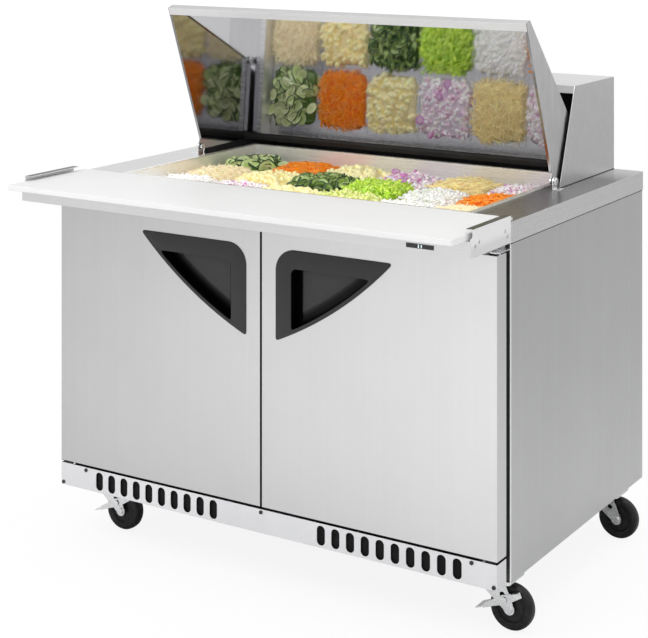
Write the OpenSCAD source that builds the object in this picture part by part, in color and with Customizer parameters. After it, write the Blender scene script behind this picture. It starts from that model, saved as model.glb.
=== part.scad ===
// Refrigerated sandwich prep table: a two-door counter on casters with an open
// pan well, a hollow rear housing, a tilting winged lid and a cutting board.
// Origin: floor level, middle of the plan. +X right, +Y to the back, +Z up.

/* [Cabinet] */
// Width of the cabinet across the doors
cabinet_w = 1225; // [1210:5:1300]
// Depth of the insulated body behind the doors
body_d = 797.5; // [790:2.5:820]
// Height of the worktop above the floor
worktop_h = 914; // [905:1:925]
// Height of the worktop's side band
band_h = 47; // [40:1:50]
// Height of the cabinet's underside above the floor
base_h = 121; // [121:1:124]
// Sheet thickness of the outer skins
skin_t = 1.2; // [0.8:0.1:1.5]

/* [Doors] */
// Depth of a door from its front face to its inner liner
door_t = 46; // [44:1:50]
// Distance from the door face to the body, door and gasket together
door_zone = 66.5; // [66.5:0.5:70]
// Width of the gap between the two doors
door_gap = 4; // [3:0.5:6]
// Height of the louvred panel's top edge
grille_top = 183; // [181:1:185]
// Gap between the louvred panel and the doors
door_bottom_gap = 5; // [4:0.5:7]
// Distance of the door's top edge below the worktop band
door_top_gap = 17; // [15:0.5:20]
// Radius of a door hinge pin
hinge_pin_r = 4; // [3:0.5:5]

/* [Handles] */
// Distance from the door split to the pull's vertical edge
pull_inner = 42; // [36:1:50]
// Distance from the door split to the pull's outer tip
pull_outer = 353; // [320:1:380]
// Height of the pull's top edge
pull_top = 804; // [780:1:815]
// Height of the pull's lowest point
pull_bottom = 588; // [560:1:620]
// Depth of the finger recess
pull_depth = 30; // [20:1:32]
// Length of the rounding at the pull's two tips
tip_round = 9; // [6:0.5:10]

/* [Louvred panel] */
// Number of slots in each group
slots = 10; // [4:1:10]
// Pitch of the slots
slot_pitch = 38.95; // [32:0.05:40]
// Width of a slot
slot_w = 22; // [12:0.5:24]
// Height of a slot
slot_h = 45; // [30:1:48]
// Sideways offset of both slot groups
slot_shift = 14; // [0:0.5:16]

/* [Board and tray] */
// How far the board stands out ahead of the door face
board_overhang = 205; // [180:5:220]
// Depth of the cutting board
board_d = 293; // [280:1:294]
// Thickness of the cutting board
board_t = 12.7; // [10:0.1:16]
// Height of the tray's end plates
tray_h = 59.5; // [55:0.5:62]

/* [Pan well] */
// Columns of pans
pan_cols = 6; // [6:1:6]
// Rows of pans
pan_rows = 3; // [3:1:3]
// Pitch of the pans across the well
pan_x = 162; // [160:0.5:162]
// Pitch of the pans from front to back
pan_y = 176; // [172:0.5:177]
// Depth of a pan
pan_depth = 100; // [65:5:115]
// Depth of the pan rims below the worktop
pan_recess = 46; // [40:1:52]

/* [Lid] */
// Angle between the open lid and the closed lid
lid_open = 68.7; // [55:0.1:70]
// Length of the lid ahead of its hinge
lid_len = 421; // [400:1:421]
// Height of the lid's front lip
lid_lip = 21; // [18:1:26]
// Thickness of the lid's foam core
lid_foam = 8; // [6:0.5:10]

/* [Rear housing] */
// Height of the rear housing above the worktop
housing_h = 241; // [241:1:260]
// Half width of the rear housing
housing_hw = 535; // [534.5:0.5:540]

/* [Casters] */
// Wheel diameter
wheel_d = 102; // [100:1:102]
// Wheel width
wheel_w = 30; // [24:1:32]
// Offset of the wheel axle from the swivel axis
trail = 50; // [46:1:52]
// Distance of the swivel axes from the middle
caster_x = 546; // [540:1:556]

/* [Hidden] */

tiny = 0.01;    // overlap or setback where faces would otherwise coincide
fit = 0.2;      // clearance between fitted pieces
bore_gap = 0.05; // radial clearance of a bore on its pin or screw
sheet_t = 1.5;  // sheet of the worktop, tray, well, housing and louvred panel

// colours shared by several pieces
foam_color = [0.93, 0.87, 0.62];
sheet_color = [0.80, 0.81, 0.82];
bar_color = [0.72, 0.73, 0.75];
gasket_color = [0.05, 0.05, 0.06];
fan_color = [0.12, 0.12, 0.13];

// main planes
half_w = cabinet_w / 2;
back_y = (board_overhang + door_zone + body_d) / 2;
body_y = back_y - body_d;               // front plane of the body
face_y = body_y - door_zone;            // front plane of the doors
board_y = face_y - board_overhang;      // front edge of the board
top_z = worktop_h;
band_z = worktop_h - band_h;            // top of the shell, bottom of the band
floor_z = base_h + skin_t;              // upper face of the base sheet
inner_x = half_w - skin_t - fit;        // side limit of what fits in the skins
inner_back = back_y - skin_t - fit;     // rear limit of what fits in the skins

// cabinet interior
foam_x = 572;                           // inner face of the side foam
cavity_z = 214;                         // storage floor
step_y = body_y + 562;                  // front of the machine step
step_z = 441;                           // top of the machine step
liner_back = back_y - 40.7;
rail_h = 30;
machine_z = floor_z + rail_h + fit;     // seat of the compressor and condenser

// louvred panel and tray
grille_bottom = 127;
tray_z = worktop_h - 7.2;               // upper face of the tray
tray_x = half_w + 5;
tray_y0 = face_y - 141;                 // front of the tray
tray_z0 = tray_z - 35.8;                // bottom of the tray's front lip

// pan well
well_x = pan_cols * pan_x / 2 + 1;
well_y0 = body_y + 48;
well_y1 = body_y + 638.5;
pans_y0 = (well_y0 + well_y1) / 2 - pan_rows * pan_y / 2;
pans_y1 = pans_y0 + pan_rows * pan_y;
pan_z = top_z - pan_recess;             // upper face of the pan rims

// lid pivot and rear housing
hinge_y = body_y + 424.5;
hinge_z = top_z + 20;
housing_foot_y = body_y + 445.5;        // front of the housing at the worktop
housing_top_y = body_y + 539.5;         // front of the housing's top
housing_z = top_z + housing_h;

// doors
door_z0 = grille_top + door_bottom_gap;
door_z1 = band_z - door_top_gap;
door_back_y = face_y + door_t;
hinge_top_z = door_z1 + 6.5;            // upper face of the top door hinge plates
pivot_x = half_w - 7.5;
pivot_y = face_y + 26.5;

// casters
caster_yf = body_y + 48.5;
caster_yr = back_y - 119;
axle_z = wheel_d / 2;

module box(x0, x1, y0, y1, z0, z1) {
  translate([x0, y0, z0]) cube([x1 - x0, y1 - y0, z1 - z0]);
}
// box centred on x = 0, given its half width
module mid_box(half, y0, y1, z0, z1) { box(-half, half, y0, y1, z0, z1); }
module both_sides() {
  children();
  mirror([1, 0, 0]) children();
}
// extrudes a y-z outline along x, from x0 to x1
module along_x(x0, x1) {
  translate([x0, 0, 0]) rotate([90, 0, 90]) linear_extrude(x1 - x0) children();
}
// extrudes an x-z outline along y, from y0 to y1
module along_y(y0, y1) {
  translate([0, y1, 0]) rotate([90, 0, 0]) linear_extrude(y1 - y0) children();
}
// rods along each axis: the two ends, the place of the axis, the radius
module rod_x(x0, x1, y, z, r) {
  translate([x0, y, z]) rotate([0, 90, 0]) cylinder(h = x1 - x0, r = r, $fn = 40);
}
module rod_y(y0, y1, x, z, r) {
  translate([x, y1, z]) rotate([90, 0, 0]) cylinder(h = y1 - y0, r = r, $fn = 40);
}
module rod_z(z0, z1, x, y, r) {
  translate([x, y, z0]) cylinder(h = z1 - z0, r = r, $fn = 40);
}
// centred rectangle with rounded corners
module rounded_rect(width, depth, r) {
  square([width - 2 * r, depth], center = true);
  square([width, depth - 2 * r], center = true);
  for (x = [r - width / 2, width / 2 - r]) for (y = [r - depth / 2, depth / 2 - r])
    translate([x, y]) circle(r = r, $fn = 32);
}

// ---------------------------------------------------------------- cabinet body
module cabinet_shell() {
  color([0.68, 0.69, 0.70]) difference() {
    union() {
      both_sides() box(half_w - skin_t, half_w, body_y, back_y, base_h, band_z);
      mid_box(half_w - tiny, back_y - skin_t, back_y, base_h, band_z);
      mid_box(half_w - tiny, body_y, back_y - tiny, base_h, floor_z);
    }
    // opening in the back, covered by the rear grille
    mid_box(410, back_y - 5, back_y + 5, 160, 390);
  }
}

module cabinet_insulation() {
  foam_y = body_y + 8;
  foam_z = 175;
  step_front = step_y + 38;
  color(foam_color) {
    both_sides() box(foam_x + fit, inner_x, foam_y, inner_back, foam_z, band_z);
    mid_box(foam_x, liner_back + 1, inner_back, step_z, band_z);
    mid_box(foam_x, step_y, inner_back, step_z - 39, step_z - 0.8);
    mid_box(foam_x, step_y, step_front, cavity_z, step_z - 39.2);
    mid_box(foam_x, foam_y, step_front, foam_z, cavity_z - 1);
  }
}

module cabinet_liner() {
  liner_t = 0.8;
  liner_x = foam_x - fit;
  y0 = body_y + 8;
  riser_y0 = step_y - 1;
  riser_y1 = step_y - 0.2;
  floor_bottom = cavity_z - liner_t;
  step_bottom = step_z - 0.4;
  step_top = step_z + 0.4;
  top = band_z - fit;
  color(sheet_color) {
    both_sides() {
      box(liner_x - liner_t, liner_x, y0, riser_y1, floor_bottom, top);
      box(liner_x - liner_t, liner_x, riser_y0, liner_back, step_bottom, top);
    }
    mid_box(liner_x, y0, riser_y1, floor_bottom, cavity_z);
    mid_box(liner_x, riser_y0, riser_y1, floor_bottom, step_top);
    mid_box(liner_x, riser_y0, liner_back, step_bottom, step_top);
    mid_box(liner_x, liner_back - liner_t, liner_back, step_bottom, top);
  }
}

module front_frame() {
  opening_z0 = cavity_z + 0.4;
  opening_z1 = band_z - 19;
  color([0.09, 0.09, 0.10]) difference() {
    union() {
      mid_box(inner_x, body_y, body_y + 7.8, grille_bottom, band_z - fit);
      // mullion between the door openings
      mid_box(28, body_y + 7.7, body_y + 38, opening_z0, opening_z1);
    }
    both_sides() box(30, foam_x - 1.2, body_y - 1, body_y + 9, opening_z0, opening_z1);
    mid_box(foam_x - 20, body_y - 1, body_y + 9, 132, 172);
  }
}

// channels across the cabinet over the casters, open at the top and ends
module base_rails() {
  wall = 2;
  half_d = 32;
  color([0.55, 0.56, 0.58]) for (y = [caster_yf, caster_yr]) difference() {
    mid_box(half_w - 12, y - half_d, y + half_d, floor_z, floor_z + rail_h);
    mid_box(half_w + 12, y - half_d + wall, y + half_d - wall,
      floor_z + wall, floor_z + rail_h + 10);
  }
}

grille_screw_r = 2.5;
// x, z of the louvred panel's screws
grille_screw_xz = [
  [-half_w + 7.5, 133.5], [half_w - 7.5, 133.5],
  [-545.5 + slot_shift, grille_top - 7], [537.5 + slot_shift, grille_top - 7],
  [0, grille_top - 7]];

module slot_row() {
  for (i = [0:slots - 1]) translate([(i - (slots - 1) / 2) * slot_pitch, 0])
    rounded_rect(slot_w, slot_h, slot_w / 2 - 0.5);
}

module front_grille() {
  y0 = face_y + tiny;
  z0 = grille_bottom;
  z1 = grille_top;
  group_x = 327;  // middle of each slot group, before the shift
  color([0.86, 0.86, 0.89]) difference() {
    union() {
      mid_box(half_w, face_y, face_y + sheet_t, z0, z1);
      both_sides() box(half_w - sheet_t, half_w, y0, door_back_y, z0, z1);
      mid_box(half_w - tiny, y0, door_back_y, z1 - sheet_t, z1);
      mid_box(half_w - tiny, y0, face_y + 20, z0, z0 + sheet_t);
    }
    for (side = [-1, 1]) along_y(face_y - 1, face_y + 5)
      translate([side * group_x + slot_shift, (z0 + z1) / 2]) slot_row();
    for (p = grille_screw_xz)
      rod_y(face_y - 1, face_y + 3, p[0], p[1], grille_screw_r + bore_gap);
    // relief for the lower door hinge plates
    both_sides() box(pivot_x - 31, half_w - 2, face_y + 2, door_back_y + 1, z1 - 3, z1 + 1);
  }
}

// screws with a cross cut into the head
module grille_screws() {
  color([0.10, 0.10, 0.11]) for (p = grille_screw_xz) difference() {
    union() {
      rod_y(face_y - 2.2, face_y - 0.05, p[0], p[1], 4.6);
      rod_y(face_y - 0.1, face_y + 12, p[0], p[1], grille_screw_r);
    }
    along_y(face_y - 3, face_y - 1) translate([p[0], p[1]]) {
      square([4.6, 1], center = true);
      square([1, 4.6], center = true);
    }
  }
}

// ------------------------------------------------------------------- worktop
module worktop() {
  outer_x = half_w + 2;
  well_wall = 1.8;
  recess_back = board_y + board_d + 0.8;  // rear of the board's recess
  color([0.78, 0.79, 0.80]) difference() {
    union() {
      difference() {
        mid_box(outer_x, body_y, back_y, band_z, top_z);
        mid_box(outer_x - sheet_t, body_y + sheet_t, back_y - sheet_t,
          band_z - 1, top_z - sheet_t);
      }
      mid_box(half_w - 3, body_y + tiny, recess_back + sheet_t,
        tray_z - sheet_t, top_z - tiny);
    }
    mid_box(half_w - 4, body_y - 1, recess_back, tray_z, top_z + 1);
    mid_box(half_w - 6, body_y + sheet_t, recess_back - tiny, tray_z - 9, tray_z - sheet_t);
    mid_box(well_x + well_wall, well_y0 - well_wall, well_y1 + well_wall,
      top_z - 10, top_z + 1);
  }
}

module worktop_insulation() {
  gap = 2.2;  // between the well's inner faces and the foam
  side_x = half_w - 0.4;
  z0 = band_z + 0.4;
  z1 = top_z - 1.8;
  color(foam_color) {
    both_sides() box(well_x + gap, side_x, well_y0, back_y - 2, z0, z1);
    mid_box(side_x, body_y + 2, well_y0 - gap, z0, tray_z - 1.8);
    mid_box(well_x + gap - 0.4, well_y1 + gap, back_y - 2, z0, z1);
  }
}

module well_rim() {
  rim_w = 15;
  color([0.85, 0.86, 0.87]) difference() {
    mid_box(well_x + rim_w, well_y0 - rim_w + 8, well_y1 + rim_w, top_z + 0.1, top_z + 2);
    mid_box(well_x, well_y0, well_y1, top_z - 1, top_z + 3);
  }
}

module pan_well() {
  well_z = 742;  // lower edge of the well's walls
  color(sheet_color) difference() {
    union() {
      difference() {
        mid_box(well_x + sheet_t, well_y0 - sheet_t, well_y1 + sheet_t, well_z, top_z);
        mid_box(well_x, well_y0, well_y1, well_z - 1, top_z + 1);
      }
      // ledge that carries the divider bars
      difference() {
        mid_box(well_x + tiny, well_y0 - tiny, well_y1 + tiny, pan_z - 14, pan_z - 12);
        mid_box(well_x - 3.5, well_y0 + 12, well_y1 - 12, pan_z - 20, pan_z);
      }
    }
    // slots along the back wall
    for (i = [-9:9])
      box(i * 50 - 15, i * 50 + 15, well_y1 - 5, well_y1 + 5, pan_z - 60, pan_z - 52);
  }
}

module pan_divider_bars() {
  top = pan_z - 1.4;
  bottom = pan_z - 11.8;
  bar_x = well_x - fit;
  y0 = well_y0 + fit;
  y1 = well_y1 - fit;
  color(bar_color) union() {
    // bars between the rows
    for (r = [1:pan_rows - 1])
      mid_box(bar_x, pans_y0 + r * pan_y - 4, pans_y0 + r * pan_y + 4, bottom, top);
    // angles along the front and back walls
    mid_box(bar_x, y0, pans_y0 + 6, top - 2, top);
    mid_box(bar_x, y0, well_y0 + 10, bottom, top);
    mid_box(bar_x, pans_y1 - 6, y1, top - 2, top);
    mid_box(bar_x, well_y1 - 10, y1, bottom, top);
    // bars between the columns
    for (c = [1:pan_cols - 1]) {
      x = (c - pan_cols / 2) * pan_x;
      box(x - 3, x + 3, pans_y0 + 5, pans_y1 - 5, top - 6, top);
    }
  }
}

module pan() {
  rim_w = pan_x - 1.2;
  rim_d = pan_y - 1.2;
  rim_t = 1.2;
  difference() {
    union() {
      translate([0, 0, -rim_t]) linear_extrude(rim_t) rounded_rect(rim_w, rim_d, 8);
      translate([0, 0, -pan_depth]) linear_extrude(pan_depth - 0.6)
        rounded_rect(rim_w - 16, rim_d - 18, 22);
    }
    translate([0, 0, -pan_depth + 1]) linear_extrude(pan_depth + 1)
      rounded_rect(rim_w - 18, rim_d - 20, 21);
  }
}

module food_pans() {
  color([0.82, 0.83, 0.84]) for (c = [0:pan_cols - 1]) for (r = [0:pan_rows - 1])
    translate([(c - (pan_cols - 1) / 2) * pan_x, pans_y0 + (r + 0.5) * pan_y, pan_z]) pan();
}

// -------------------------------------------------------------- tray and board
shelf_screw_r = 2.5;
// y, z of the screws through each end plate of the tray
shelf_screw_yz = [
  [face_y - 122, tray_z - 12], [face_y - 104, tray_z - 5.8],
  [face_y + 22, tray_z - 4.6], [face_y + 34, tray_z - 18]];

module board_shelf() {
  y0 = tray_y0;
  z0 = tray_z0;
  shelf_back = body_y - fit;
  plate_front = y0 + 11;  // front of the end plate's raised part
  plate_back = face_y + 54;
  plate_top = z0 + tray_h;
  color([0.84, 0.85, 0.86]) difference() {
    union() {
      mid_box(tray_x, y0, y0 + sheet_t, z0, tray_z);
      mid_box(tray_x, y0 + tiny, shelf_back, tray_z - sheet_t, tray_z);
      mid_box(tray_x, y0 + tiny, y0 + 14, z0, z0 + sheet_t);
      mid_box(half_w - 44, shelf_back - sheet_t, shelf_back, z0 + 4, tray_z - tiny);
      both_sides() {
        along_x(tray_x - tiny, tray_x + 2.2) polygon([
          [y0, z0], [y0, tray_z + 1], [y0 + 5, tray_z + 5], [plate_front, tray_z + 7],
          [plate_front, plate_top], [plate_back, plate_top], [plate_back, z0]]);
        // inward flange along the end plate's top edge
        box(tray_x - 15.5, tray_x + 0.1, plate_front, plate_back,
          plate_top - sheet_t, plate_top);
        box(tray_x - 12, tray_x + tiny, y0 + tiny, y0 + sheet_t, z0, tray_z);
      }
    }
    both_sides() for (p = shelf_screw_yz)
      rod_x(tray_x - 5, tray_x + 5, p[0], p[1], shelf_screw_r + bore_gap);
  }
}

module shelf_screws() {
  color([0.60, 0.61, 0.63]) both_sides() for (p = shelf_screw_yz) {
    rod_x(tray_x - 8, tray_x + 2.24, p[0], p[1], shelf_screw_r);
    rod_x(tray_x + 2.22, tray_x + 3.9, p[0], p[1], 4.4);
  }
}

module display() {
  color([0.03, 0.03, 0.04])
    box(467, 533, tray_y0 - 1.4, tray_y0 - 0.02, tray_z - 27.3, tray_z - 17.5);
}

module cutting_board() {
  board_x = half_w - 4.5;
  chamfer = 1.2;
  y0 = board_y;
  y1 = board_y + board_d;
  z0 = tray_z + fit;
  z1 = z0 + board_t;
  color([0.96, 0.96, 0.95]) along_x(-board_x, board_x) polygon([
    [y0, z0 + chamfer], [y0 + chamfer, z0], [y1 - chamfer, z0], [y1, z0 + chamfer],
    [y1, z1 - chamfer], [y1 - chamfer, z1], [y0 + chamfer, z1], [y0, z1 - chamfer]]);
}

// ---------------------------------------------------------------- rear housing
module housing_cover() {
  x1 = housing_hw - tiny;
  y0 = housing_top_y;
  z0 = top_z + fit;
  z1 = housing_z;
  color([0.70, 0.71, 0.72]) {
    both_sides() along_x(housing_hw - sheet_t, housing_hw)
      polygon([[housing_foot_y, z0], [y0, z1], [back_y, z1], [back_y, z0]]);
    mid_box(x1, y0, back_y, z1 - sheet_t, z1);
    mid_box(x1, y0, y0 + sheet_t, z1 - 19, z1);
    mid_box(x1, back_y - sheet_t, back_y, z0, z1);
  }
}

lid_pin_r = 5;

module lid_hinge_brackets() {
  x0 = 529;
  plate_t = 3;
  y0 = hinge_y - 11;
  y1 = hinge_y + 13;
  z0 = top_z + fit;
  color([0.82, 0.83, 0.85]) both_sides() difference() {
    union() {
      box(x0, x0 + plate_t, y0, y1, z0, hinge_z);
      rod_x(x0, x0 + plate_t, hinge_y, hinge_z, 11);
      box(x0, x0 + 22, y0, y1, z0, z0 + 2.5);
    }
    rod_x(x0 - 1, x0 + plate_t + 1, hinge_y, hinge_z, lid_pin_r + bore_gap);
    for (y = [-5, 7]) rod_z(z0 - 1, z0 + 4, x0 + 15, hinge_y + y, 2);
  }
}

// -------------------------------------------------------------------- lid
// The lid is drawn closed about its pivot and then turned to its open rest pose.
lid_top_y = 82.5;   // panel's rear edge behind the pivot
lid_top_z = 215.8;  // panel's rear edge above the pivot
slope_len = sqrt(pow(lid_len + lid_top_y, 2) + pow(lid_top_z - lid_lip, 2));
slope_y = (lid_len + lid_top_y) / slope_len;
slope_z = (lid_top_z - lid_lip) / slope_len;
lid_t = 1.2;
lid_x = 525.3;      // half width of the panel
lid_in = lid_t + lid_foam + 0.4;  // depth of the liner below the outer face

// y, z of a point along the sloping panel from its front edge, below its outer face
function lid_pt(along, below) = [
  -lid_len + along * slope_y + below * slope_z,
  lid_lip + along * slope_z - below * slope_y];

module place_lid() { translate([0, hinge_y, hinge_z]) rotate([-lid_open, 0, 0]) children(); }

module lid_panel() {
  front = -lid_len;
  fold = front + 20;  // rear of the front lip's bottom fold
  color(sheet_color) place_lid() along_x(-lid_x, lid_x) {
    // sloping panel
    polygon([lid_pt(0, 0), lid_pt(slope_len, 0), lid_pt(slope_len, lid_t),
      lid_pt(0.4, lid_t)]);
    // front lip, its bottom fold and the upturned edge
    polygon([[front, 0], [front + lid_t, 0], lid_pt(1.4, lid_t + 0.6), lid_pt(0, 0)]);
    polygon([[front, 0], [fold, 0], [fold, lid_t], [front, lid_t]]);
    polygon([[fold - lid_t, 0], [fold, 0], [fold, 15], [fold - lid_t, 15]]);
    // rear lip
    polygon([lid_pt(slope_len, 0), lid_pt(slope_len - 1.6, 11),
      lid_pt(slope_len - 2.8, 11), lid_pt(slope_len - lid_t, lid_t - 0.2)]);
  }
}

module lid_core() {
  outer = lid_t + fit;
  inner = lid_in - fit;
  color(foam_color) place_lid() along_x(-lid_x, lid_x)
    polygon([lid_pt(6, outer), lid_pt(slope_len - 6, outer),
      lid_pt(slope_len - 6, inner), lid_pt(24, inner)]);
}

module lid_liner() {
  color([0.62, 0.63, 0.66]) place_lid() along_x(-lid_x, lid_x)
    polygon([lid_pt(26, lid_in), lid_pt(slope_len - 4, lid_in),
      lid_pt(slope_len - 4, lid_in + 1), lid_pt(26, lid_in + 1)]);
}

module lid_wings() {
  color([0.74, 0.75, 0.76]) place_lid() both_sides() difference() {
    union() {
      along_x(lid_x + 0.2, lid_x + 1.7) polygon([
        [-lid_len, 0], [-lid_len, lid_lip], lid_pt(slope_len, 0), lid_pt(slope_len - 1.6, 11),
        [9, 2], [6.4, -6.4], [0, -9], [-12, -9], [-22, 0]]);
      // inward flange along the lower edge
      box(lid_x - 5, lid_x + 0.3, -lid_len + 22, -24, 0, 1.2);
    }
    rod_x(lid_x - 9, lid_x + 9, 0, 0, lid_pin_r + bore_gap);
  }
}

module lid_gasket() {
  color(gasket_color) place_lid() along_x(-lid_x + 0.3, lid_x - 0.3)
    polygon([lid_pt(slope_len - 26, lid_in + 1.1), lid_pt(slope_len - 4, lid_in + 1.1),
      lid_pt(slope_len - 5, lid_in + 6), lid_pt(slope_len - 12, lid_in + 8.4),
      lid_pt(slope_len - 24, lid_in + 6)]);
}

// pins with a round inner head and a hexagonal outer one
module lid_pins() {
  pin_end = 533.4;
  color([0.88, 0.88, 0.90]) both_sides() {
    rod_x(lid_x - 1.8, pin_end, hinge_y, hinge_z, lid_pin_r);
    rod_x(lid_x - 5, lid_x - 1.7, hinge_y, hinge_z, 8);
    translate([pin_end - 0.1, hinge_y, hinge_z]) rotate([0, 90, 0])
      cylinder(h = 4.2, r = 8.6, $fn = 6);
  }
}

// -------------------------------------------------------------------- doors
// Every door piece is drawn for the right door and mirrored for the left one.
door_core_x = door_gap / 2 + skin_t + fit;  // inside the skin, by the door split
door_core_z0 = door_z0 + skin_t + fit;
door_core_z1 = door_z1 - skin_t - fit;
door_liner_color = [0.88, 0.89, 0.90];
door_handle_color = [0.14, 0.14, 0.15];
door_pin_color = [0.75, 0.76, 0.78];

function arc_pts(center, r, a0, a1, n) =
  [for (k = [0:n]) let (a = a0 + (a1 - a0) * k / n) center + r * [cos(a), sin(a)]];
// centre of the circle of radius r through p and q that bulges to the lower right
function bulge_center(p, q, r) =
  let (chord = q - p, len = norm(chord), normal = [chord[1], -chord[0]] / len)
  (p + q) / 2 - normal * sqrt(r * r - len * len / 4);
// quadratic corner from p to r, drawn towards q
function soft_corner(p, q, r) =
  [for (k = [0:6]) let (t = k / 6) (1 - t) * (1 - t) * p + 2 * t * (1 - t) * q + t * t * r];

// Curved-triangle pull in x, z: an upright left edge, a level top edge and a long
// arc between them, each set in from the full outline.
module pull_outline(side_inset, top_inset, arc_inset, corner_r) {
  full_r = 960;
  left = pull_inner + side_inset;
  top = pull_top - top_inset;
  arc_r = full_r - arc_inset;
  c = bulge_center([pull_inner + 4, pull_bottom], [pull_outer, pull_top - 4], full_r);
  // where the long arc meets the left edge and the top edge
  low_z = c[1] - sqrt(arc_r * arc_r - pow(left - c[0], 2));
  right = c[0] + sqrt(arc_r * arc_r - pow(top - c[1], 2));
  a0 = atan2(low_z - c[1], left - c[0]);
  a1 = atan2(top - c[1], right - c[0]);
  tip_a = tip_round / arc_r * 57.3;  // the tip rounding as degrees of arc
  start = a0 + tip_a;
  end = a1 - 1.7 * tip_a;
  polygon(concat(
    arc_pts([left + corner_r, top - corner_r], corner_r, 90, 180, 14),
    soft_corner([left, low_z + tip_round], [left, low_z], c + arc_r * [cos(start), sin(start)]),
    arc_pts(c, arc_r, a0 + 1.6 * tip_a, a1 - 2.6 * tip_a, 22),
    soft_corner(c + arc_r * [cos(end), sin(end)], [right, top],
      [right - 1.7 * tip_round, top])));
}

module door_skin() {
  x0 = door_gap / 2;
  difference() {
    box(x0, half_w, face_y, door_back_y, door_z0, door_z1);
    box(x0 + skin_t, half_w - skin_t, face_y + skin_t, door_back_y + 1,
      door_z0 + skin_t, door_z1 - skin_t);
    along_y(face_y - 1, face_y + 5) pull_outline(4, 4, 4, 48);
    rod_z(door_z0 - 1, door_z1 + 1, pivot_x, pivot_y, hinge_pin_r + bore_gap);
  }
}

module door_core() {
  difference() {
    box(door_core_x, inner_x, face_y + skin_t + fit, door_back_y - 6.2,
      door_core_z0, door_core_z1);
    box(pull_inner - 1, pull_outer + 1, face_y, face_y + pull_depth + 4.5,
      pull_bottom - 6, pull_top + 4);
    for (z = [door_z0, door_z1 - 30]) rod_z(z, z + 30, pivot_x, pivot_y, hinge_pin_r + 0.3);
  }
}

module door_liner() {
  difference() {
    box(door_core_x, inner_x, door_back_y - 6, door_back_y - fit, door_core_z0, door_core_z1);
    box(door_core_x + 42, inner_x - 42, door_back_y - 4, door_back_y + 1,
      door_z0 + 44, door_z1 - 44);
  }
}

module door_gasket() {
  x0 = door_gap / 2 + 6;
  x1 = pivot_x - fit;
  y0 = door_back_y - 0.1;
  y1 = body_y - 0.3;
  z0 = door_z0 + 5;
  z1 = door_z1 - 5;
  band = 20;
  difference() {
    union() {
      box(x0, x1, y0, y0 + 4, z0, z1);
      box(x0 + 3, x1, y0 + 3.9, y1, z0 + 3, z1 - 3);
    }
    box(x0 + band, x1 - band, y0 - 1, y1 + 1, z0 + band, z1 - band);
  }
}

// flange on the door face, with the recessed cup behind it
module door_handle() {
  difference() {
    union() {
      along_y(face_y - 2.4, face_y - 0.02) pull_outline(0, 0, 0, 52);
      along_y(face_y - 0.1, face_y + pull_depth + 4) pull_outline(4.6, 4.6, 4.6, 47.4);
    }
    along_y(face_y - 3, face_y + pull_depth + 1.5) pull_outline(43, 44, 9, 14);
  }
}

module door_pins() {
  rod_z(grille_top - 0.8, door_z0 + 26, pivot_x, pivot_y, hinge_pin_r);
  rod_z(door_z1 - 26, hinge_top_z + 0.6, pivot_x, pivot_y, hinge_pin_r);
}

module door_hinge_brackets() {
  upper_z = hinge_top_z - 2.6;  // underside of the upper plate
  plate_x = pivot_x - 26;
  foot_x = pivot_x - 4;
  foot_y = body_y - 2.1;
  plate_back = body_y - 0.1;
  bore_r = hinge_pin_r + bore_gap;
  color([0.80, 0.81, 0.83]) both_sides() {
    // upper plate over the door, on a foot against the worktop band
    difference() {
      union() {
        box(plate_x, foot_x, foot_y, plate_back, upper_z + tiny, tray_z - 3);
        box(plate_x, half_w + 1.5, pivot_y - 10, plate_back, upper_z, hinge_top_z);
        rod_z(upper_z, hinge_top_z, pivot_x - 7, pivot_y - 10, 12);
        rod_z(upper_z, hinge_top_z, pivot_x - 2.6, pivot_y - 10, 11.6);
      }
      rod_z(hinge_top_z - 10, hinge_top_z + 5, pivot_x, pivot_y, bore_r);
      rod_z(hinge_top_z - 10, hinge_top_z + 5, pivot_x - 12, pivot_y + 20, 5);
    }
    // lower plate in the gap over the louvred panel
    difference() {
      union() {
        box(plate_x, half_w - 3, pivot_y - 12, plate_back, grille_top - 0.2, grille_top + 2);
        box(plate_x, foot_x, foot_y, plate_back, grille_top - 42, grille_top);
      }
      rod_z(grille_top - 5, grille_top + 5, pivot_x, pivot_y, bore_r);
      for (drop = [12, 32])
        rod_y(body_y - 5, body_y + 1, pivot_x - 15, grille_top - drop, 2.5);
    }
  }
}

module door_left_skin() { color([0.78, 0.78, 0.79]) mirror([1, 0, 0]) door_skin(); }
module door_left_core() { color(foam_color) mirror([1, 0, 0]) door_core(); }
module door_left_liner() { color(door_liner_color) mirror([1, 0, 0]) door_liner(); }
module door_left_gasket() { color(gasket_color) mirror([1, 0, 0]) door_gasket(); }
module door_left_handle() { color(door_handle_color) mirror([1, 0, 0]) door_handle(); }
module door_left_hinge_pins() { color(door_pin_color) mirror([1, 0, 0]) door_pins(); }
module door_right_skin() { color([0.85, 0.85, 0.86]) door_skin(); }
module door_right_core() { color(foam_color) door_core(); }
module door_right_liner() { color(door_liner_color) door_liner(); }
module door_right_gasket() { color(gasket_color) door_gasket(); }
module door_right_handle() { color(door_handle_color) door_handle(); }
module door_right_hinge_pins() { color(door_pin_color) door_pins(); }

// ------------------------------------------------------- inside the cabinet
shelf_z = 458;             // axis of the shelves' cross rods
clip_z = shelf_z - 3.2;    // top of the clips

module wire_shelf() {
  x0 = 8;
  x1 = foam_x - 8;
  y0 = body_y + 46;
  y1 = step_y - 14;
  gaps = 16;  // between neighbouring wires
  for (i = [0:gaps])
    rod_y(y0 + 1.3, y1 - 1.3, x0 + 12 + (x1 - x0 - 24) * i / gaps, shelf_z + 3.4, 1.7);
  for (y = [y0 + 3, (y0 + y1) / 2, y1 - 3]) rod_x(x0, x1, y, shelf_z, 3);
  for (x = [x0 + 4, x1 - 4]) rod_y(y0 + 4.1, y1 - 4.1, x, shelf_z, 2.2);
}
module wire_shelves() { color([0.90, 0.90, 0.91]) both_sides() wire_shelf(); }

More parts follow.
